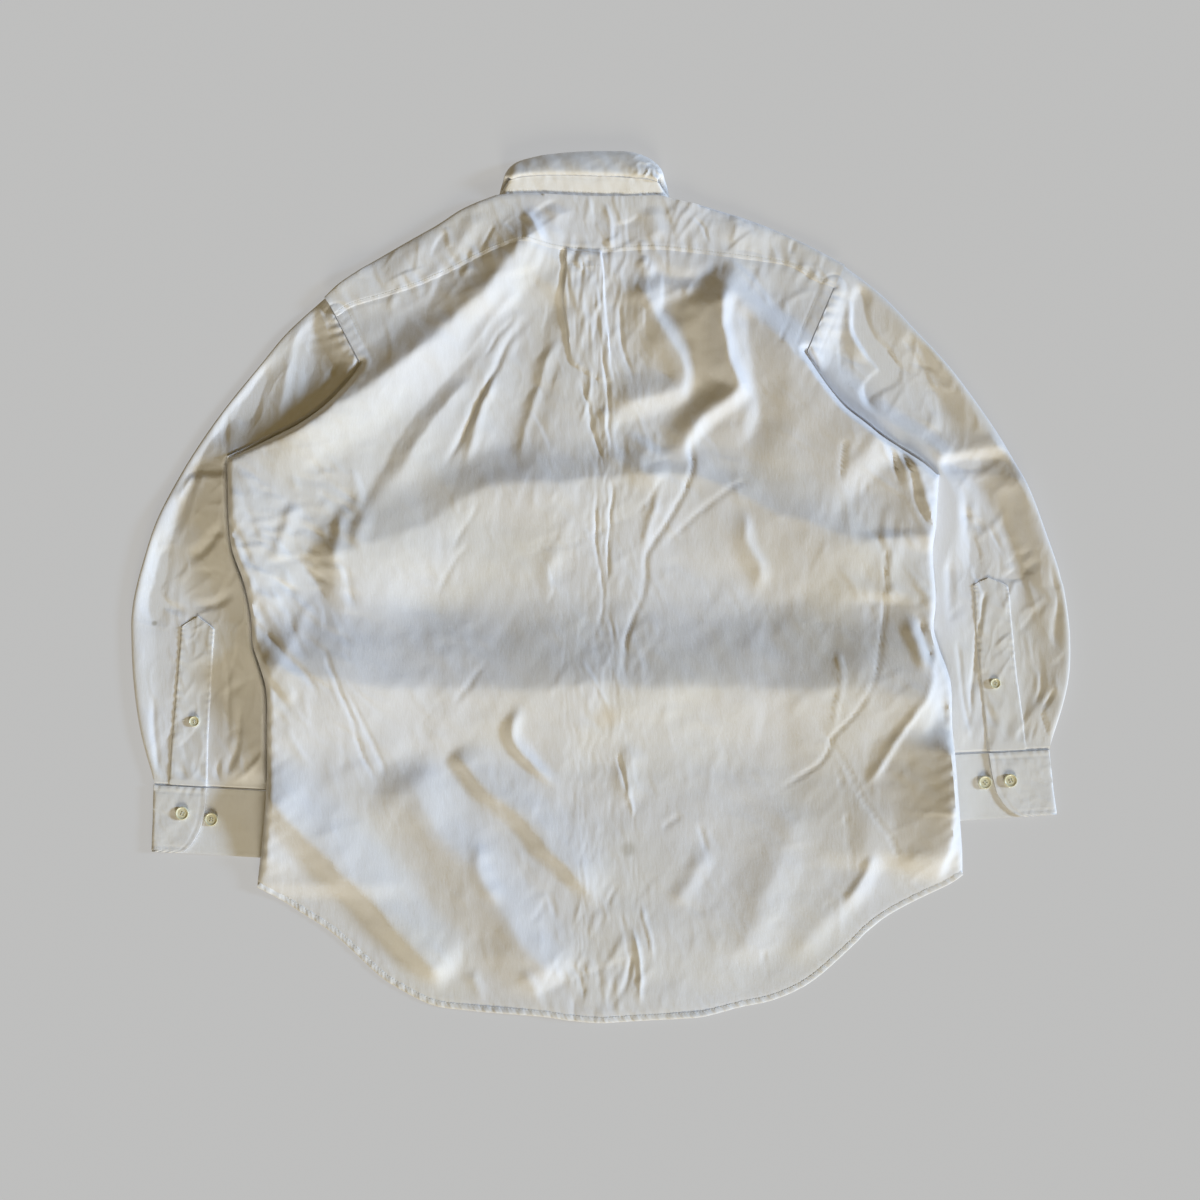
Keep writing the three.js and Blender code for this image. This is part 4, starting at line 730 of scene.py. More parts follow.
class Sleeve:
    def __init__(self, table, left, creases):
        self.table, self.left, self.creases = table, left, creases
        ks = np.linspace(0, len(table) - 1, 261)
        sh = shown_share(table, left, ks)
        free = sh.copy()
        for d in range(1, 14):            # least share that shows nearby
            free[d:] = np.minimum(free[d:], sh[:-d])
            free[:-d] = np.minimum(free[:-d], sh[d:])
        ker = np.ones(9) / 9
        self.ks, self.free = ks, np.convolve(np.pad(free, 4, "edge"), ker, "valid") - .035

    def point(self, k, f):
        """Top surface at section k and share f."""
        r = rows_at(self.table, k)
        x, y = lerp(r[..., 0], r[..., 2], f), lerp(r[..., 1], r[..., 3], f)
        w = np.hypot(r[..., 2] - r[..., 0], r[..., 3] - r[..., 1])
        s = f * w
        free = np.interp(k, self.ks, self.free)
        roll = 1 - np.sqrt(1 - (1 - clip01(s / 5.0)) ** 2)
        if self.left:
            bump = smooth(f / .17) * smooth((free - f) / np.maximum(free - .12, .1)) ** .8
        else:
            bump = smooth(f / .30) * smooth((free - f) / .20)
        rise = .72 * r[..., 6] + .6
        z = SLEEVE_H + rise * (1 - bump)
        open_ = smooth((free - f) / .09) * smooth(s / 9)
        if not self.left:            # its outer edge stands up below the elbow
            z += (.55 * r[..., 6] + 1.9) * (1 - smooth(f / .30)) * smooth((125 - y) / 30) * smooth((y + 152) / 40)
        if self.left:                # the upper layer leans up to the body's edge
            d, _ = to_line(x, y, BODY_LINE_L, 70)
            away = np.where(d > 1e6, 1e3, np.clip(-d, 0, None))
            ends = smooth((y + 200) / 34) * smooth((262 - y) / 70)
            high = lerp(7.5, 11.0, smooth((112 - y) / 9))
            lean = high * clip01(1 - away / lerp(38, 60, smooth((112 - y) / 9))) ** 1.5 * smooth((away + 1) / 4.5)
            outer = rise * (1 - smooth(f / .17)) * lerp(.35, 1.0, smooth((112 - y) / 60))
            z = lerp(z, SLEEVE_H + np.maximum(outer, lean), ends)
            open_ = lerp(open_, smooth(away / 7) * smooth(s / 9), ends)
        wx, wy = x + 3 * noise(x / 40, y / 40, 71), y + 3 * noise(x / 40, y / 40, 72)
        extra = -folds(wx, wy, self.creases)
        extra += 0.6 * fbm(x / 46, y / 60, 73, 2, .5)
        ridged = 1 - np.abs(noise((x + 8 * noise(x / 24, y / 24, 75)) / 19, (y + 8 * noise(x / 22, y / 22, 76)) / 34, 77))
        extra += 0.25 * smooth((ridged - .7) / .3)
        extra += short_creases(x, y, SLEEVE_CREASES)
        end = smooth((len(self.table) - 1 - k) / .35)
        n_end = len(self.table) - 1
        # gathers into the cuff
        extra += 1.0 * puckers(s, 0, 17, 81) * smooth((k - (n_end - .7)) / .6)
        z += np.maximum(extra, -z + 2.6) * open_ * (0.25 + .75 * end)
        z -= 1.9 * roll
        return np.stack([x, y, np.maximum(z, SLEEVE_H / 2 * (1 - 0 * roll))], -1)


# ------------------------------------------------------------------ looks
def node_tree(mat):
    mat.use_nodes = True
    nt = mat.node_tree
    bsdf = nt.nodes["Principled BSDF"]
    return nt, bsdf


def cloth_material(name, base, warm, bump=1.0, grain=1.0, stains=()):
    mat = bpy.data.materials.new(name)
    nt, b = node_tree(mat)
    N, L = nt.nodes, nt.links
    b.inputs["Roughness"].default_value = 0.88
    b.inputs["Specular IOR Level"].default_value = 0.22
    b.inputs["Sheen Weight"].default_value = 0.12
    b.inputs["Sheen Roughness"].default_value = 0.5
    co = N.new("ShaderNodeTexCoord")

    def mapping(scale, rot=(0, 0, 0)):
        m = N.new("ShaderNodeMapping")
        m.inputs["Scale"].default_value = scale
        m.inputs["Rotation"].default_value = rot
        L.new(co.outputs["Object"], m.inputs["Vector"])
        return m.outputs["Vector"]

    def tex(vec, scale, detail=3, rough=.55, distort=0.0):
        t = N.new("ShaderNodeTexNoise")
        t.inputs["Scale"].default_value = scale
        t.inputs["Detail"].default_value = detail
        t.inputs["Roughness"].default_value = rough
        t.inputs["Distortion"].default_value = distort
        L.new(vec, t.inputs["Vector"])
        return t.outputs["Fac"]

    def ramp(fac, lo, hi, a=0.0, c=1.0):
        m = N.new("ShaderNodeMapRange")
        m.inputs["From Min"].default_value = lo
        m.inputs["From Max"].default_value = hi
        m.inputs["To Min"].default_value = a
        m.inputs["To Max"].default_value = c
        L.new(fac, m.inputs["Value"])
        return m.outputs["Result"]

    def mix(fac, a, c, kind="MIX"):
        m = N.new("ShaderNodeMix")
        m.data_type = "RGBA"
        m.blend_type = kind
        if isinstance(fac, float):
            m.inputs["Factor"].default_value = fac
        else:
            L.new(fac, m.inputs["Factor"])
        for s, v in (("A", a), ("B", c)):
            sock = [i for i in m.inputs if i.name == s and i.type == "RGBA"][0]
            if isinstance(v, tuple):
                sock.default_value = (*v, 1)
            else:
                L.new(v, sock)
        return [o for o in m.outputs if o.type == "RGBA"][0]

    def math_(op, a, c):
        m = N.new("ShaderNodeMath")
        m.operation = op
        for i, v in enumerate((a, c)):
            if isinstance(v, (int, float)):
                m.inputs[i].default_value = v
            else:
                L.new(v, m.inputs[i])
        return m.outputs[0]

    obj = mapping((1, 1, 1))
    blotch = ramp(tex(obj, 7.0, 3, .6, .6), .42, .68)
    col = mix(blotch, base, warm)
    fleck = ramp(tex(obj, 60.0, 2, .6), .60, .78, 0.0, .35)
    col = mix(fleck, col, tuple(c * .94 for c in base))
    streak = ramp(tex(mapping((420, 70, 420)), 1.0, 2, .6), .35, .7, 0.0, .22)
    col = mix(streak, col, tuple(min(1, c * 1.05) for c in base))
    for sx, sy, r, tint, amount in stains:
        m = N.new("ShaderNodeMapping")
        m.vector_type = "TEXTURE"
        m.inputs["Location"].default_value = (sx / 1000, sy / 1000, .008)
        m.inputs["Scale"].default_value = (r / 1000, r / 1000, .03)
        L.new(co.outputs["Object"], m.inputs["Vector"])
        g = N.new("ShaderNodeTexGradient")
        g.gradient_type = "SPHERICAL"
        L.new(m.outputs["Vector"], g.inputs["Vector"])
        fac = ramp(g.outputs["Fac"], 0.0, .6, 0.0, amount)
        col = mix(fac, col, tint)
    L.new(col, b.inputs["Base Color"])
    # weave, thread slubs and fine creasing
    wv = mapping((1, 1, 1))
    w1 = N.new("ShaderNodeTexWave")
    w1.bands_direction = "X"
    w1.inputs["Scale"].default_value = 700
    w1.inputs["Distortion"].default_value = .6
    L.new(wv, w1.inputs["Vector"])
    w2 = N.new("ShaderNodeTexWave")
    w2.bands_direction = "Y"
    w2.inputs["Scale"].default_value = 700
    w2.inputs["Distortion"].default_value = .6
    L.new(wv, w2.inputs["Vector"])
    weave = math_("MULTIPLY", math_("ADD", w1.outputs["Fac"], w2.outputs["Fac"]), .07)
    slub = math_("MULTIPLY", tex(mapping((430, 120, 400), (0, 0, .12)), 1.0, 3, .65), .62 * grain)
    slub2 = math_("MULTIPLY", tex(mapping((150, 330, 400), (0, 0, .3)), 1.0, 2, .6), .22 * grain)
    crinkle = N.new("ShaderNodeTexNoise")
    crinkle.noise_type = "RIDGED_MULTIFRACTAL"
    crinkle.inputs["Scale"].default_value = 34
    crinkle.inputs["Detail"].default_value = 4
    crinkle.inputs["Distortion"].default_value = 1.1
    L.new(mapping((1.0, .55, 1)), crinkle.inputs["Vector"])
    cr = math_("MULTIPLY", crinkle.outputs["Fac"], .55 * grain)
    h = math_("ADD", math_("ADD", weave, slub), math_("ADD", slub2, cr))
    bp = N.new("ShaderNodeBump")
    bp.inputs["Strength"].default_value = .55 * bump
    bp.inputs["Distance"].default_value = .0006
    L.new(h, bp.inputs["Height"])
    L.new(bp.outputs["Normal"], b.inputs["Normal"])
    return mat


def plain_material(name, color, rough=.7, spec=.3, bump_scale=0, bump_amount=0.0):
    mat = bpy.data.materials.new(name)
    nt, b = node_tree(mat)
    b.inputs["Base Color"].default_value = (*color, 1)
    b.inputs["Roughness"].default_value = rough
    b.inputs["Specular IOR Level"].default_value = spec
    if bump_scale:
        t = nt.nodes.new("ShaderNodeTexNoise")
        t.inputs["Scale"].default_value = bump_scale
        co = nt.nodes.new("ShaderNodeTexCoord")
        nt.links.new(co.outputs["Object"], t.inputs["Vector"])
        bp = nt.nodes.new("ShaderNodeBump")
        bp.inputs["Strength"].default_value = bump_amount
        bp.inputs["Distance"].default_value = .0003
        nt.links.new(t.outputs["Fac"], bp.inputs["Height"])
        nt.links.new(bp.outputs["Normal"], b.inputs["Normal"])
    return mat


BASE, WARM = (.80, .80, .825), (.80, .785, .76)
STAINS = [(27, -248, 9, (.50, .47, .40), .5), (7, -121, 16, (.74, .63, .46), .5), (-423.5, -34, 3.2, (.42, .38, .30), .7),
          (150, 30, 40, (.80, .74, .62), .22), (-60, 40, 45, (.80, .75, .64), .2)]
M_BODY = cloth_material("shirting_body", BASE, WARM, stains=STAINS)
M_SLEEVE = cloth_material("shirting_sleeve", BASE, WARM, stains=STAINS[2:3])
M_TRIM = cloth_material("shirting_trim", (.81, .81, .825), (.80, .785, .76), grain=.7)
M_THREAD = plain_material("thread", (.82, .81, .77), .75, .2, 3000, .4)


# ------------------------------------------------------------------ back panel
def density(n, peaks):
    u = np.linspace(0, 1, 4001)
    w = 1 + sum(a * np.exp(-((u - c) / s) ** 2) for c, a, s in peaks)
    c = np.r_[0, np.cumsum((w[1:] + w[:-1]) / 2)]
    return np.interp(np.linspace(0, c[-1], n), c, u)


NR = (24, 68, 180)                   # cells down the armhole, underarm and side
NC = 292
U = density(NC + 1, [(.456, 3.0, .008), (.532, 3.0, .008), (.50, .5, .16)])


def side_rows(arm, under, side):
    a, b, c = curve(arm, n=NR[0] + 1), curve(under, n=NR[1] + 1), curve(side, n=NR[2] + 1)
    return np.vstack([a[:-1], b[:-1], c])


def patch(L, R, top, bottom, us):
    n = len(L) - 1
    v = np.linspace(0, 1, n + 1)[:, None]
    u = us[None, :]
    l, r = L[:, None, :], R[:, None, :]
    t, b = top[None], bottom[None]
    xy = l + (r - l) * u[..., None]
    xy = xy + (1 - v)[..., None] * (t - (L[0] + (R[0] - L[0]) * u[..., None]))
    xy = xy + v[..., None] * (b - (L[-1] + (R[-1] - L[-1]) * u[..., None]))
    return xy


def make_back():
    L, R = side_rows(ARM_L, UNDER_L, SIDE_L), side_rows(ARM_R, UNDER_R, SIDE_R)
    tx = lerp(L[0][0], R[0][0], U)
    top = np.stack([tx, np.interp(tx, SEAM_LINE[:, 0], SEAM_LINE[:, 1]) + 1.2], 1)
    bx = lerp(L[-1][0], R[-1][0], U)
    bottom = np.stack([bx, np.interp(bx, HEM_LINE[:, 0], HEM_LINE[:, 1]) + 1.2], 1)
    xy = patch(L, R, top, bottom, U)
    z = body_height(xy[..., 0], xy[..., 1])
    return np.concatenate([xy, z[..., None]], -1)


BACK = make_back()
back = shell("shirt_back", BACK, CLOTH, M_BODY, coarse=4)


# ------------------------------------------------------------------ yoke
def make_yoke():
    outline = np.vstack([curve(SHOULDER_L, step=3), curve(NECK_BACK, step=3)[1:], curve(SHOULDER_R, step=3)[1:]])
    s = np.r_[0, np.cumsum(np.linalg.norm(np.diff(outline, axis=0), axis=1))]
    nu, nv = 336, 40
    u = np.linspace(0, 1, nu + 1)
    t = np.stack([np.interp(u * s[-1], s, outline[:, 0]), np.interp(u * s[-1], s, outline[:, 1])], 1)
    bx = lerp(-249, 222, u)
    b = np.stack([bx, np.interp(bx, SEAM_LINE[:, 0], SEAM_LINE[:, 1]) - .5], 1)
    v = np.linspace(0, 1, nv + 1)[:, None, None]
    xy = t[None] + (b - t)[None] * v
    z = body_height(xy[..., 0], xy[..., 1])
    # the yoke's folded edge stands on the back; its shoulder edges roll over
    dy, _ = to_line(xy[..., 0], xy[..., 1], SEAM_LINE, 60)
    z += 0.75 * smooth(dy / 1.4 + .8)
    z -= 0.35 * np.exp(-((dy - 2.6) / .8) ** 2)
    ds = v[..., 0] * np.linalg.norm((b - t)[None], axis=-1)
    shoulder = (u < .44) | (u > .72)
    z -= np.where(shoulder[None, :], 1.9, .3) * (1 - np.sqrt(1 - (1 - clip01(ds / 7)) ** 2))
    return np.concatenate([xy, z[..., None]], -1)


YOKE = make_yoke()
yoke = shell("shirt_yoke", YOKE, .9, M_BODY, coarse=2)


# ------------------------------------------------------------------ hem
def make_hem():
    line = curve(HEM, step=1.25)
    n = len(line)
    t = np.gradient(line, axis=0)
    t /= np.linalg.norm(t, axis=1)[:, None]
    nrm = np.stack([-t[:, 1], t[:, 0]], 1)           # towards the shirt
    s = np.r_[0, np.cumsum(np.linalg.norm(np.diff(line, axis=0), axis=1))]
    prof = [(6.6, -.45), (6.2, .12), (5.2, .42), (3.8, .52), (2.2, .5), (1.0, .34), (.2, 0), (-.15, -.5), (.1, -1.0), (1.4, -1.3), (4, -1.4), (6.3, -1.2)]
    x, y = line[:, 0], line[:, 1]
    flip = np.exp(-((x + 99) / 33) ** 2) + np.exp(-((x - 90) / 24) ** 2)
    rows = []
    ends = smooth(s / 5) * smooth((s[-1] - s) / 5)
    for d, dz in prof:
        px, py = x + nrm[:, 0] * d, y + nrm[:, 1] * d
        z = body_height(x + nrm[:, 0] * 4.0, y + nrm[:, 1] * 4.0)
        rip = .42 * np.sin(2 * math.pi * (s + d * .9) / 4.6 + 1.4 * noise(s / 17, 0 * s, 91)) * (0.7 + .5 * noise(s / 31, 0 * s + 4, 92))
        rip = rip * smooth(1 - abs(d - 3) / 4.2) * (1 if dz > -.4 else 0)
        z = z + dz + rip + flip * 1.3 * smooth(1 - d / 9)
        rows.append(np.stack([px, py, np.maximum(z, .25 if dz > -.6 else .05)], 1))
    R = np.stack(rows, 1)
    return R, s, nrm, line


HEM_ROWS, hem_s, hem_n, hem_line = make_hem()
hem = tube("back_hem", HEM_ROWS, M_TRIM)


# ------------------------------------------------------------------ sleeves
ARM_LINES = {True: np.asarray(ARM_L, float), False: np.asarray(ARM_R, float)}


def sleeve_end(s, flap):
    """Height of the sleeve's top where it goes into the cuff."""
    return lerp(5.3, 3.7, smooth((s - flap + 5) / 9))


def sleeve_surface(S, k, f):
    p = S.point(k, f)
    x, y, z = p[..., 0], p[..., 1], p[..., 2]
    r = rows_at(S.table, k)
    s = f * np.hypot(r[..., 2] - r[..., 0], r[..., 3] - r[..., 1])
    n = len(S.table) - 1
    # the head meets the body at the armhole seam
    d, t = to_line(x, y, ARM_LINES[S.left], 60)
    d = np.abs(d)
    H = body_height(x, y) - .45
    near = smooth(1 - d / 26) * smooth((3.2 - k) / 1.2)
    roll = 1.9 * (1 - np.sqrt(1 - (1 - clip01(s / 5)) ** 2))
    z = lerp(z, H - roll, near)
    z = z + .9 * puckers(t * 50, d, 10, 83 if S.left else 84, .3) * np.exp(-d / 16) * smooth((3.2 - k) / 1.2) * smooth(d / 2)
    z = lerp(z, sleeve_end(s, 50 if S.left else 58), smooth((k - n + .42) / .42))
    z = np.where(k > n, z - 1.4 * smooth((k - n) / .05), z)
    return np.stack([x, y, z], -1)


SL, SR = Sleeve(SLEEVE_L, True, SLEEVE_L_FOLDS), Sleeve(SLEEVE_R, False, SLEEVE_R_FOLDS)


def make_sleeve(S, name):
    n = len(S.table) - 1
    k = np.r_[-.05, np.linspace(0, n, 232), n + .05, n + .09]
    fu = np.linspace(0, 1, 101)
    ft = np.r_[0, .004, .01, .018, .03, np.linspace(.045, .955, 96), .97, .982, .99, .996, 1.0]
    K, F = np.meshgrid(k, ft, indexing="ij")
    top = sleeve_surface(S, K, F)
    fb = np.r_[.99, .975, .95, np.linspace(.9, .1, 15), .05, .025, .01]
    K2, F2 = np.meshgrid(k, fb, indexing="ij")
    low = sleeve_surface(S, K2, F2)
    r = rows_at(S.table, K2)
    s = np.minimum(F2, 1 - F2) * np.hypot(r[..., 2] - r[..., 0], r[..., 3] - r[..., 1])
    low[..., 2] = .25 + 1.6 * (1 - np.sqrt(1 - (1 - clip01(s / 3)) ** 2)) + .2 * np.abs(noise(low[..., 0] / 30, low[..., 1] / 30, 88))
    # lowest under the seam at the sleeve's head
    lift = smooth((0.5 - K2) / .5)
    low[..., 2] += lift * .5
    loop = np.concatenate([top, low], 1)
    return tube(name, loop, M_SLEEVE, sharp=70, ends=False)


sleeve_l = make_sleeve(SL, "sleeve_l")
sleeve_r = make_sleeve(SR, "sleeve_r")


# ------------------------------------------------------------------ plackets
def placket_point(S, k, u, rise):
    """u runs 0 to 1 across the placket."""
    r = rows_at(S.table, np.clip(k, 9.0, None))
    pl, pr = r[..., 4], r[..., 5]
    m = (pl + pr) / 2
    w = clip01((k - 9.0) / .78)
    a, b = m - w * (m - pl), m + w * (pr - m)
    f = lerp(a, b, u)
    p = sleeve_surface(S, k, f)
    p[..., 2] += rise
    return p


def make_placket(S, name):
    k = np.r_[np.linspace(9.0, 9.8, 26), np.linspace(9.84, 13.03, 116)]
    u = np.r_[0, .03, .07, np.linspace(.12, .88, 25), .93, .97, 1]
    K, Uu = np.meshgrid(k, u, indexing="ij")
    top = placket_point(S, K, Uu, 0.0)
    x, y = top[..., 0], top[..., 1]
    wid = 34.0
    e = np.minimum(Uu, 1 - Uu) * wid
    rise = .65 + .75 * np.sqrt(1 - (1 - clip01(e / 1.2)) ** 2)
    rise -= .22 * np.exp(-((e - 2.6) / .7) ** 2)                    # stitch line
    rise += .30 * puckers(K * 40, e, 6.5, 95, 0) * smooth(1 - e / 6)
    rise += .25 * noise(x / 8, y / 12, 96)
    low = top.copy()
    low[..., 2] += -1.0
    top[..., 2] += rise
    end = smooth((K - 12.7) / .25)
    top[..., 2] = lerp(top[..., 2], np.minimum(top[..., 2], 6.1), end)
    return shell(name, top, .5, M_TRIM, under=low)


placket_l = make_placket(SL, "placket_l")
placket_r = make_placket(SR, "placket_r")


# ------------------------------------------------------------------ cuffs
CUFF_MID, CUFF_TOP = CUFF * 1.5 + .6, CUFF * 2.5 + 1.2
CT = 1.5                                    # wall that shows


def make_cuff(table, name, seed, left):
    rows = curve([r[:2] + r[2:] for r in table], n=46)
    P, Q = [], []
    m = 190
    for q, (ox, oy, ix, iy, flap) in enumerate(rows):
        v = q / (len(rows) - 1)
        w = math.hypot(ix - ox, iy - oy)
        h = CUFF / 2
        # the free end's lower corner is rounded
        fl = flap - 9 * (1 - math.sqrt(max(0, 1 - max(0, (v - .80) / .20) ** 2)))
        line = [(fl, CUFF_TOP), (fl * .5, CUFF_TOP), (h + 3.2, CUFF_TOP), (h + .9, CUFF_TOP - .7), (h, CUFF_MID), (h + .8, h + .8), (h + 3, h),
                (w * .35, h), (w * .7, h), (w - 3.4, h), (w - 1.4, h + .4), (w - h, (h + CUFF_MID) / 2), (w - 1.4, CUFF_MID - .4),
                (w - 3.4, CUFF_MID), (w * .7, CUFF_MID), (w * .45, CUFF_MID), (18, CUFF_MID)]
        c = curve(line, n=m)
        # offset both faces of the wall from its middle line
        t = np.gradient(c, axis=0)
        t /= np.maximum(np.linalg.norm(t, axis=1), 1e-9)[:, None]
        nrm = np.stack([-t[:, 1], t[:, 0]], 1)
        for G, sgn in ((P, 1), (Q, -1)):
            e = c + nrm * (sgn * CT / 2)
            f = e[:, 0] / w
            G.append(np.stack([lerp(ox, ix, f), lerp(oy, iy, f), e[:, 1]], 1))
    P, Q = np.array(P), np.array(Q)
    x, y = P[..., 0], P[..., 1]
    v = np.linspace(0, 1, len(rows))[:, None] * np.ones_like(x)
    d0, d1 = v * 64, (1 - v) * 64
    up = smooth((P[..., 2] - 2.2) / 1.2)
    s = np.abs(x - rows[0][0])
    dz = .35 * fbm(x / 20, y / 16, seed, 3) + .45 * puckers(s, d0, 8, seed + 1, .4) * np.exp(-d0 / 7) + .40 * puckers(s, d1, 6, seed + 2, .5) * np.exp(-d1 / 6)
    ridged = 1 - np.abs(noise(x / 16 + 3, y / 20, seed + 4))
    dz += .12 * smooth((ridged - .72) / .28)
    dz -= .35 * np.exp(-((d0 - 5.5) / .9) ** 2) + .35 * np.exp(-((d1 - 5.5) / .9) ** 2)
    dz -= .5 * smooth(1 - d1 / 1.8) + .4 * smooth(1 - d0 / 1.6)
    # stitched free end
    idx = np.arange(m)[None, :] * np.ones_like(x)
    flap_d = np.hypot(x - P[:, :1, 0], y - P[:, :1, 1])
    dz -= .35 * np.exp(-((flap_d - 4.5) / .9) ** 2) * (idx < m * .16)
    P[..., 2] += dz * up
    Q[..., 2] += dz * up
    P[..., 2], Q[..., 2] = np.maximum(P[..., 2], .05), np.maximum(Q[..., 2], .05)
    return loft_wall(name, P, Q, M_TRIM), P, Q


cuff_l, CLP, CLQ = make_cuff(CUFF_L, "cuff_l", 101, True)
cuff_r, CRP, CRQ = make_cuff(CUFF_R, "cuff_r", 121, False)


# ------------------------------------------------------------------ collar
STATIONS = 22


def refine(C, ni, nj, wrap=False):
    def one(A, n, closed):
        m = len(A)
        t = np.linspace(0, m if closed else m - 1, n, endpoint=not closed)
        i = np.floor(t).astype(int)
        if not closed:
            i = np.clip(i, 0, m - 2)
        f = (t - i).reshape((-1,) + (1,) * (A.ndim - 1))
        if closed:
            a, b, c, d = A[(i - 1) % m], A[i % m], A[(i + 1) % m], A[(i + 2) % m]
        else:
            E = np.concatenate([2 * A[:1] - A[1:2], A, 2 * A[-1:] - A[-2:-1]])
            a, b, c, d = E[i], E[i + 1], E[i + 2], E[i + 3]
        return 0.5 * (2 * b + (c - a) * f + (2 * a - 5 * b + 4 * c - d) * f ** 2 + (3 * b - a - 3 * c + d) * f ** 3)
    A = one(C, ni, wrap)
    return np.swapaxes(one(np.swapaxes(A, 0, 1), nj, False), 0, 1)


def ring(steps):
    out = []
    for i in steps:
        a = -math.pi / 2 - 2 * math.pi * i / STATIONS
        c, s = math.cos(a), math.sin(a)
        back_ = float(smooth((s - .02) / .5))
        x = NECK["cx"] + NECK["rx"] * c
        side = 1 - abs(s)
        y = float(at(NECK_BACK, min(68, max(-98, x)))) + GAP if s > 1e-6 else NECK["cy"] - NECK["drop"] * abs(s) + GAP
        low = np.array([x, y, lerp(COLLAR_LIFT + .2, 8.2, back_)])
        up = np.array([NECK["cx"] + (x - NECK["cx"]) * (lerp(.93, .965, back_) - .09 * side * side),
                       y + lerp(25.0, 16.5, back_) * (1 - .55 * side), low[2] + lerp(1.0, 8.5, back_) * (1 - .3 * side)])
        out.append((c, s, back_, low, up))
    return out


def make_stand():
    P, Q = [], []
    for c, s, back_, low, up in ring(range(STATIONS)):
        t = BAND * min(1, max(0, abs(s) * 2.2))
        inw = np.array([-c * BAND * (1 - min(1, abs(s) * 1.2)), 0, 0])
        d = np.array([-c * .2, .35 if s > 0 else .05, -1.0 if s > 0 else 1.0])
        d /= np.linalg.norm(d)
        mid = low + (up - low) * .5
        P.append([low, mid, up])
        Q.append([p + d * t + inw for p in (low, mid, up)])
    P, Q = refine(np.array(P), 220, 16, True), refine(np.array(Q), 220, 16, True)
    v = np.linspace(0, 1, 16)[None, :]
    x, y = P[..., 0], P[..., 1]
    back_ = smooth((y - 360) / 12)
    s = x * 1.0
    # seam ripples at the neck, stitch line above it, soft bends
    dz = .5 * puckers(s, v * 18, 7, 141, .3) * np.exp(-v * 5) + .3 * puckers(s, v * 18, 9, 142, 0) * np.exp(-(1 - v) * 6)
    dz = dz - .4 * np.exp(-((v - .16) / .05) ** 2) - .25 * np.exp(-((v - .9) / .05) ** 2)
    dz = dz + .6 * noise(x / 22, y / 15, 143) + .35 * noise(x / 8, y / 9, 144)
    dz = dz * back_
    P[..., 2] += dz
    Q[..., 2] += dz
    return loft_wall("collar_band", P, Q, M_TRIM, wrap=True), P


EDGE = [(-17, 300, .82), (-33, 283, .82), (-62, 268, .82), (-86, 262, .82), (-98, 298, .82), (-101, 332, .82),
        (-97, 366, .82), (-90, 390, 1.4), (-79, 402, 2), (-58, 408, 2.4), (-36, 411, 2.6), (-12, 412.4, 2.6),
        (12, 412.8, 2.6), (30, 411.6, 2.4), (47, 405.5, 2), (59, 393, 1.4),
        (67, 366, .82), (71, 332, .82), (68, 298, .82), (56, 262, .82), (32, 268, .82), (3, 283, .82), (-13, 300, .82)]
FLAT = [(0, .5), (2.6, .8), (4.2, -.9), (2.6, 0), (-.5, 0), (-1, 0)]
ARCH = [(0, 0), (.14, 2.6), (.48, 1.4), (.84, -2.2), (1.0, -9), (.96, 0)]


def make_leaf():
    steps = [.14] + list(range(1, STATIONS)) + [STATIONS - .14]
    C = []
    for i, (c, s, back_, low, up) in enumerate(ring(steps)):
        e = np.array(EDGE[i], float)
        d = (up - low) / np.linalg.norm(up - low)
        root = up + d * (GAP + .5 + 1.6 * (1 - abs(s)))
        root[2] -= BAND / 2 * (1 if s > 0 else -1)
        root[0] -= c * 2.4 * (1 - abs(s))
        root[2] -= 1.5 * (1 - abs(s))
        arch = back_ > .5
        row = []
        for j, (f, z) in enumerate(ARCH if arch else FLAT):
            if arch:
                p = [lerp(root[0], e[0], f), lerp(root[1], e[1], f), e[2] if j == 5 else root[2] + z]
                if j == 4:
                    p[2] = lerp(root[2], e[2], .55)
            elif f >= 0:
                g = np.array([d[0], d[1]]) / math.hypot(d[0], d[1])
                p = [root[0] + g[0] * f, root[1] + g[1] * f, e[2] if j == 3 else max(root[2] + z, 2.4 if j == 2 else 0)]
            else:
                p = [lerp(root[0], e[0], -f), lerp(root[1], e[1], -f), e[2]]
            row.append(p)
        C.append(row)
    C = refine(np.array(C), 265, 41)
    x, y, z = C[..., 0], C[..., 1], C[..., 2]
    up_ = smooth((z - 5) / 5)
    diag = (x * .8 + y * .6)
    across = (-x * .6 + y * .8)
    dz = 1.5 * noise(diag / 26, across / 60, 151) + .7 * noise(diag / 11, across / 40, 152) + .5 * fbm(x / 14, y / 14, 153, 2)
    right = smooth((x - 25) / 20)
    ridged = 1 - np.abs(noise(x / 9, y / 8, 154))
    dz += right * 1.3 * smooth((ridged - .6) / .4)
    v = np.linspace(0, 1, 41)[None, :] * np.ones_like(x)
    dz += .5 * puckers(x, v * 20, 6, 155, .4) * np.exp(-v * 9)
    C[..., 2] += dz * up_
    du, dv = np.gradient(C, axis=0), np.gradient(C, axis=1)
    nrm = np.cross(du, dv)
    nrm /= np.maximum(np.linalg.norm(nrm, axis=-1), 1e-9)[..., None]
    P, Q = C + nrm * .7, C - nrm * .7
    P[..., 2], Q[..., 2] = np.maximum(P[..., 2], .03), np.maximum(Q[..., 2], .03)
    return loft_wall("collar_fall", P, Q, M_TRIM), P, Q


stand, STAND_P = make_stand()
leaf, LEAF_P, LEAF_Q = make_leaf()


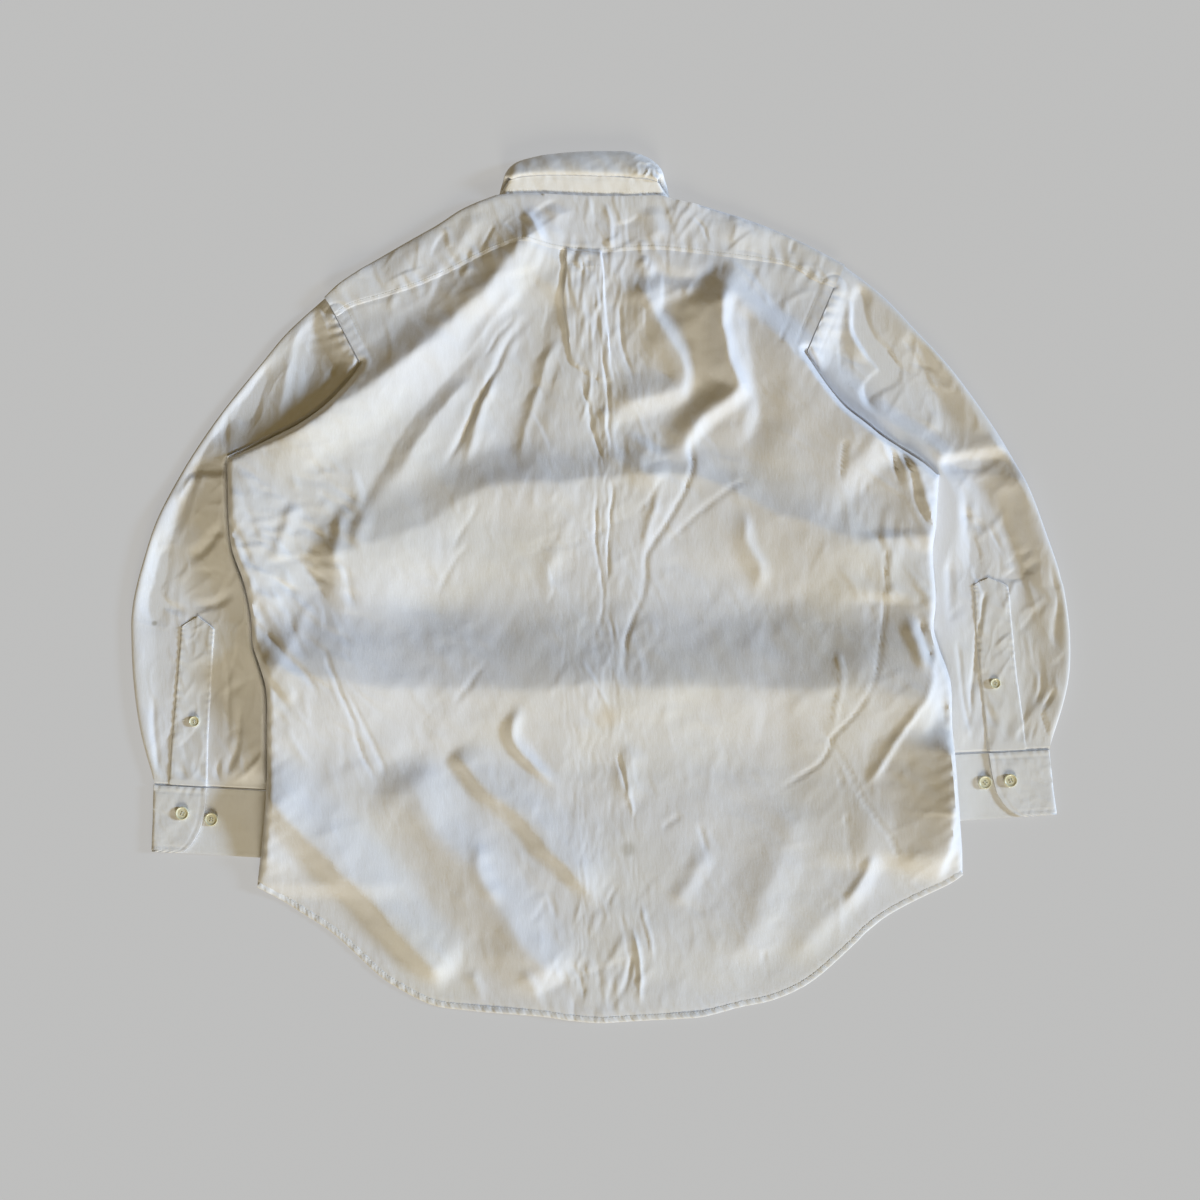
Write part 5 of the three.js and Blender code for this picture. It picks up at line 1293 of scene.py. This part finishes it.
# ------------------------------------------------------------------ fronts
def front_copy(node, name, cuts, material, seed):
    """The front as packed, made fine, with shallow creases."""
    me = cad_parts[node].data.copy()
    bm = bmesh.new()
    bm.from_mesh(me)
    bmesh.ops.remove_doubles(bm, verts=bm.verts, dist=1e-6)
    for _ in range(cuts):
        bmesh.ops.subdivide_edges(bm, edges=[e for e in bm.edges if e.calc_length() > .007], cuts=1, use_grid_fill=True)
    bmesh.ops.triangulate(bm, faces=bm.faces)
    bm.to_mesh(me)
    bm.free()
    co = np.zeros(len(me.vertices) * 3, np.float32)
    me.vertices.foreach_get("co", co)
    co = co.reshape(-1, 3).astype(float) * 1000
    x, y = co[:, 0], co[:, 1]
    ridged = 1 - np.abs(noise((x + 12 * noise(x / 30, y / 30, seed)) / 26, (y + 12 * noise(x / 26, y / 26, seed + 1)) / 38, seed + 2))
    dz = .42 * smooth((ridged - .6) / .4) * smooth(.6 + noise(x / 110, y / 110, seed + 3))
    co[:, 2] += dz
    me.vertices.foreach_set("co", (co / 1000).astype(np.float32).ravel())
    me.materials.clear()
    me.materials.append(material)
    me.shade_smooth()
    me.set_sharp_from_angle(angle=math.radians(50))
    ob = bpy.data.objects.new(name, me)
    bpy.context.scene.collection.objects.link(ob)
    return ob


front_l = front_copy("front_left", "front_l", 3, M_BODY, 161)
front_r = front_copy("front_right", "front_r", 3, M_BODY, 171)
band = front_copy("front_band", "button_band", 4, M_TRIM, 181)


# ------------------------------------------------------------------ buttons
def button_material():
    mat = bpy.data.materials.new("button_cream")
    nt, b = node_tree(mat)
    b.inputs["Roughness"].default_value = .32
    b.inputs["Specular IOR Level"].default_value = .5
    b.inputs["Coat Weight"].default_value = .15
    co = nt.nodes.new("ShaderNodeTexCoord")
    t = nt.nodes.new("ShaderNodeTexNoise")
    t.inputs["Scale"].default_value = 240
    t.inputs["Distortion"].default_value = 1.5
    nt.links.new(co.outputs["Object"], t.inputs["Vector"])
    r = nt.nodes.new("ShaderNodeValToRGB")
    r.color_ramp.elements[0].color = (.70, .65, .42, 1)
    r.color_ramp.elements[1].color = (.82, .79, .60, 1)
    r.color_ramp.elements[0].position, r.color_ramp.elements[1].position = .3, .7
    nt.links.new(t.outputs["Fac"], r.inputs["Fac"])
    nt.links.new(r.outputs["Color"], b.inputs["Base Color"])
    return mat


M_BUTTON = button_material()


def make_button(name, cx, cy, z0, r, t, turn=.35, tilt=(0, 0), segs=72, threads=True):
    rho = np.r_[np.linspace(0, .62, 22), .66, .70, .74, .79, .84, .89, .93, .965, .985, 1.0, 1.0, .97, .90] * r
    prof = np.r_[np.full(22, .62), .63, .66, .73, .86, .96, 1.0, .98, .88, .76, .6, .22, .05, 0.0] * t
    a = np.arange(segs) * 2 * math.pi / segs
    X, Y = rho[:, None] * np.cos(a), rho[:, None] * np.sin(a)
    Z = prof[:, None] * np.ones_like(X)
    for k in range(4):
        b = turn + k * math.pi / 2
        d = np.hypot(X - .25 * r * math.cos(b), Y - .25 * r * math.sin(b))
        cut = smooth((.135 * r - d) / (.05 * r)) * (np.arange(len(rho)) < 24)[:, None]
        Z = Z - cut * .5 * t
    Z = Z + tilt[0] * X + tilt[1] * Y
    v = np.stack([X + cx, Y + cy, Z + z0], -1)
    n, m = X.shape
    v = np.vstack([v.reshape(-1, 3), [[cx, cy, z0]]])
    q = grid_quads(n, m, wrap=True)[m:]
    tris = [(0, m + j, m + (j + 1) % m) for j in range(m)]
    tris += [(n * m, (n - 1) * m + (j + 1) % m, (n - 1) * m + j) for j in range(m)]
    # the first ring is one point
    q = q.copy()
    ob = mesh_object(name, v, q, tris, M_BUTTON, 45, solid=True)
    bars = []
    if threads:
        for k in (0, 1):
            b0, b1 = turn + k * math.pi, turn + k * math.pi + math.pi / 2
            for off in (-.22, .0, .22):
                p0 = np.array([.25 * r * math.cos(b0), .25 * r * math.sin(b0)])
                p1 = np.array([.25 * r * math.cos(b1), .25 * r * math.sin(b1)])
                side = np.array([-(p1 - p0)[1], (p1 - p0)[0]])
                side = side / np.linalg.norm(side) * off
                c = (p0 + p1) / 2 + side
                bars.append((cx + c[0], cy + c[1], z0 + .66 * t, p1[0] - p0[0], p1[1] - p0[1], 0.0))
    return ob, bars


# ------------------------------------------------------------------ stitches
def stitch_mesh(name, items, material, radius=.2, sides=5):
    """items: x, y, z of the middle and the vector from end to end, in mm."""
    it = np.asarray(items, float)
    c, d = it[:, :3], it[:, 3:6]
    L = np.linalg.norm(d, axis=1)
    u = d / L[:, None]
    up = np.array([0, 0, 1.0]) - u * u[:, 2:3]
    up /= np.linalg.norm(up, axis=1)[:, None]
    w = np.cross(u, up)
    ts, rs = np.array([-.5, -.38, 0, .38, .5]), np.array([.25, .85, 1.0, .85, .25])
    sag = np.array([-.9, -.2, .25, -.2, -.9])
    a = np.arange(sides) * 2 * math.pi / sides
    pts = []
    for t, r, g in zip(ts, rs, sag):
        mid = c + u * (L * t)[:, None] + up * (g * radius)
        for b in a:
            pts.append(mid + (w * math.cos(b) + up * math.sin(b)) * (radius * r))
    V = np.stack(pts, 1)                      # items, 25, 3
    k = len(ts) * sides
    quads, tris = [], []
    for i in range(len(ts) - 1):
        for j in range(sides):
            quads.append((i * sides + j, i * sides + (j + 1) % sides, (i + 1) * sides + (j + 1) % sides, (i + 1) * sides + j))
    for j in range(1, sides - 1):
        tris.append((0, j + 1, j))
        e = (len(ts) - 1) * sides
        tris.append((e, e + j, e + j + 1))
    base = np.arange(len(it))[:, None, None] * k
    Q = (np.array(quads)[None] + base).reshape(-1, 4)
    T = (np.array(tris)[None] + base).reshape(-1, 3)
    # outward faces
    v = V.reshape(-1, 3)
    t0 = v[Q[0]]
    nrm = np.cross(t0[1] - t0[0], t0[2] - t0[0])
    if np.dot(nrm, t0.mean(0) - V[0].mean(0)) < 0:
        Q, T = Q[:, ::-1], T[:, ::-1]
    return mesh_object(name, v, Q, T, material, None)


def run_stitches(path, pitch=3.0, fill=.74, rise=.12):
    p = np.asarray(path, float)
    s = np.r_[0, np.cumsum(np.linalg.norm(np.diff(p, axis=0), axis=1))]
    k = max(1, int(s[-1] / pitch))
    out = []
    for i in range(k):
        a, b = (i + .5 - fill / 2) * pitch, (i + .5 + fill / 2) * pitch
        pa = np.array([np.interp(a, s, p[:, q]) for q in range(3)])
        pb = np.array([np.interp(b, s, p[:, q]) for q in range(3)])
        pa[2] += rise
        pb[2] += rise
        out.append((*((pa + pb) / 2), *(pb - pa)))
    return out


def on_body(xy, rise=0.0):
    xy = np.asarray(xy, float)
    z = body_height(xy[:, 0], xy[:, 1])
    return np.column_stack([xy, z + rise])


def offset(line, d):
    """Line moved d to its left."""
    t = np.gradient(line, axis=0)
    t /= np.linalg.norm(t, axis=1)[:, None]
    return line + np.stack([-t[:, 1], t[:, 0]], 1) * d


body_st, trim_st, button_st = [], [], []
body_st += run_stitches(on_body(offset(curve(YOKE_SEAM, step=1.5), 2.6)[3:-3], .75), 2.8)
body_st += run_stitches(on_body(offset(curve(ARM_L, step=1.5), 12.2)[1:-6], 0), 2.8)
body_st += run_stitches(on_body(offset(curve(ARM_R, step=1.5), -12.2)[1:-6], 0), 2.8)
body_st += run_stitches(on_body(curve([(-34, 304), (-16, 303.5), (3, 304)], step=1.5), .15), 2.6)
trim_st += run_stitches(HEM_ROWS[3:-3, 2] + [0, 0, -.05], 2.9)
for S in (SL, SR):
    kk = np.linspace(9.12, 12.9, 120)
    for u in (.085, .915):
        p = placket_point(S, kk, np.full(kk.shape, u), .95)
        trim_st += run_stitches(p, 2.8)
    kx = np.full(24, 10.42)
    trim_st += run_stitches(placket_point(S, kx, np.linspace(.1, .9, 24), 1.05), 2.6)
for P in (CLP, CRP):
    m = P.shape[1]
    lo, hi = 4, len(P) - 5
    for i in (lo, hi):
        vis = P[i, 1:int(m * .115)]
        trim_st += run_stitches(vis, 2.9)
        tail = P[i, int(m * .86):int(m * .975)]
        trim_st += run_stitches(tail[tail[:, 2] > 2.5], 2.9)
st_y = STAND_P[:, 3]
st_y = st_y[st_y[:, 1] > 372]
trim_st += run_stitches(st_y[np.argsort(st_y[:, 0])], 2.7, rise=.05)

BUTTONS = [("cuff_button_l1", -396, -214, 6.4, 2.2), ("cuff_button_l2", -369, -220, 6.4, 2.2), ("placket_button_l", -385, -127, 5.0, 2.0),
           ("cuff_button_r1", 389, -183, 6.4, 2.2), ("cuff_button_r2", 365.5, -185, 6.4, 2.2), ("placket_button_r", 375, -91, 5.0, 2.0)]


def nearest_top(P, x, y):
    d = np.hypot(P[..., 0] - x, P[..., 1] - y) - P[..., 2] * .6
    i = np.unravel_index(np.argmin(d), d.shape)
    return P[i][2]


made = []
pk_top = {}
for S, key in ((SL, "l"), (SR, "r")):
    K, Uu = np.meshgrid(np.linspace(10, 12.8, 90), np.linspace(0, 1, 40), indexing="ij")
    pk_top[key] = placket_point(S, K, Uu, 1.15)
for i, (nm, x, y, r, t) in enumerate(BUTTONS):
    lo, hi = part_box(nm)
    z0 = lo[2] * 1000
    if nm.startswith("placket"):
        z0 = nearest_top(pk_top[nm[-1]], x, y) + .35
    ob, bars = make_button("%s_shape" % nm, x, y, z0, r, t, turn=.35 + .3 * i, tilt=(.03 * math.sin(i * 2.1), .03 * math.cos(i * 1.7)))
    made.append((ob, nm))
    button_st += bars
for i in range(7):
    nm = "front_button_%d" % (i + 1)
    y = 268 - 88 * i
    ob, bars = make_button(nm + "_shape", mid_x(y), y, 0.05, 5.6, 1.85, turn=.3 * i, segs=36, threads=False)
    made.append((ob, nm))


def buttonhole(cx, cy, z, ln, ang, out):
    """Slit with a close satin border."""
    c, s = math.cos(ang), math.sin(ang)
    for k in range(int(ln / .5)):
        t = -ln / 2 + .25 + k * .5
        for sgn in (-1, 1):
            ox, oy = t, sgn * .85
            out.append((cx + ox * c - oy * s, cy + ox * s + oy * c, z, -s * 1.25, c * 1.25, 0.0))
    for e in (-1, 1):
        for k in range(3):
            ox, oy = e * (ln / 2 + .1), (k - 1) * .8
            out.append((cx + ox * c - oy * s, cy + ox * s + oy * c, z, c * 1.1, s * 1.1, 0.0))


holes_st = []
buttonhole(-403, -214.5, nearest_top(CLP, -405, -214) + .12, 16, -.05, holes_st)
buttonhole(396.5, -183.5, nearest_top(CRP, 400, -184) + .12, 16, -.03, holes_st)
buttonhole(-390, -127, nearest_top(pk_top["l"], -392, -127) + .05, 13, -.05, holes_st)
buttonhole(380.5, -91, nearest_top(pk_top["r"], 382, -91) + .05, 13, .05, holes_st)

body_stitches = stitch_mesh("body_stitches", body_st, M_THREAD)
trim_stitches = stitch_mesh("trim_stitches", trim_st, M_THREAD)
button_threads = stitch_mesh("button_threads", button_st, M_THREAD, .16)
buttonholes = stitch_mesh("buttonholes", holes_st, M_THREAD, .22, 4)

# ------------------------------------------------------------------ frame
for ob, nodes in ((back, ["back"]), (yoke, ["yoke"]), (front_l, ["front_left"]), (front_r, ["front_right"]), (band, ["front_band"]),
                  (sleeve_l, ["sleeve_left"]), (sleeve_r, ["sleeve_right"]), (placket_l, ["placket_left"]), (placket_r, ["placket_right"]),
                  (cuff_l, ["cuff_left"]), (cuff_r, ["cuff_right"]), (stand, ["collar_stand"]), (leaf, ["collar_leaf"]), (hem, []),
                  (body_stitches, []), (trim_stitches, []), (button_threads, []), (buttonholes, [])):
    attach(ob, "root")
    if nodes:
        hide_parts(*nodes)
for ob, nm in made:
    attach(ob, "root")
    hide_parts(nm)

# ------------------------------------------------------------------ stage
scene = bpy.context.scene


def floor_material():
    mat = bpy.data.materials.new("floor_grey")
    mat.use_nodes = True
    nt = mat.node_tree
    b = nt.nodes["Principled BSDF"]
    b.inputs["Base Color"].default_value = (.15, .15, .15, 1)
    b.inputs["Roughness"].default_value = .95
    b.inputs["Specular IOR Level"].default_value = 0.0
    b.inputs["Emission Color"].default_value = (1, 1, 1, 1)
    b.inputs["Emission Strength"].default_value = FLOOR_GLOW
    return mat


FLOOR_GLOW = .42
floor = mesh_object("floor", [(-60000, -60000, -.02), (60000, -60000, -.02), (60000, 60000, -.02), (-60000, 60000, -.02)], [(0, 1, 2, 3)], None, floor_material(), None)
floor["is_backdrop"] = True

world = bpy.data.worlds.new("studio")
scene.world = world
world.use_nodes = True
bg = world.node_tree.nodes["Background"]
bg.inputs["Color"].default_value = (1.0, .75, .33, 1)
bg.inputs["Strength"].default_value = .18


def sun(name, azimuth, elevation, strength, color, angle):
    li = bpy.data.lights.new(name, "SUN")
    li.energy, li.color, li.angle = strength, color, math.radians(angle)
    ob = bpy.data.objects.new(name, li)
    a, e = math.radians(azimuth), math.radians(elevation)
    from_ = np.array([math.cos(a) * math.cos(e), math.sin(a) * math.cos(e), math.sin(e)])
    import mathutils
    ob.rotation_mode = "QUATERNION"
    ob.rotation_quaternion = mathutils.Vector(from_).to_track_quat("Z", "Y")
    scene.collection.objects.link(ob)
    return ob


sun("window", 6, 20.5, 3.07, (.56, .74, 1.0), 10)
sun("door", -78, 25.5, 2.07, (1.0, .95, .80), 24)

cam = bpy.data.cameras.new("camera")
cam.lens, cam.sensor_width = 50, 36
cam.clip_start, cam.clip_end = .01, 50
camera = bpy.data.objects.new("camera", cam)
scene.collection.objects.link(camera)
camera.location = (0, -.0119, 1.140 * 50 / 36 + .004)
camera.rotation_euler = (0, 0, 0)
scene.camera = camera
scene.view_settings.view_transform = "Standard"

lo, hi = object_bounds()
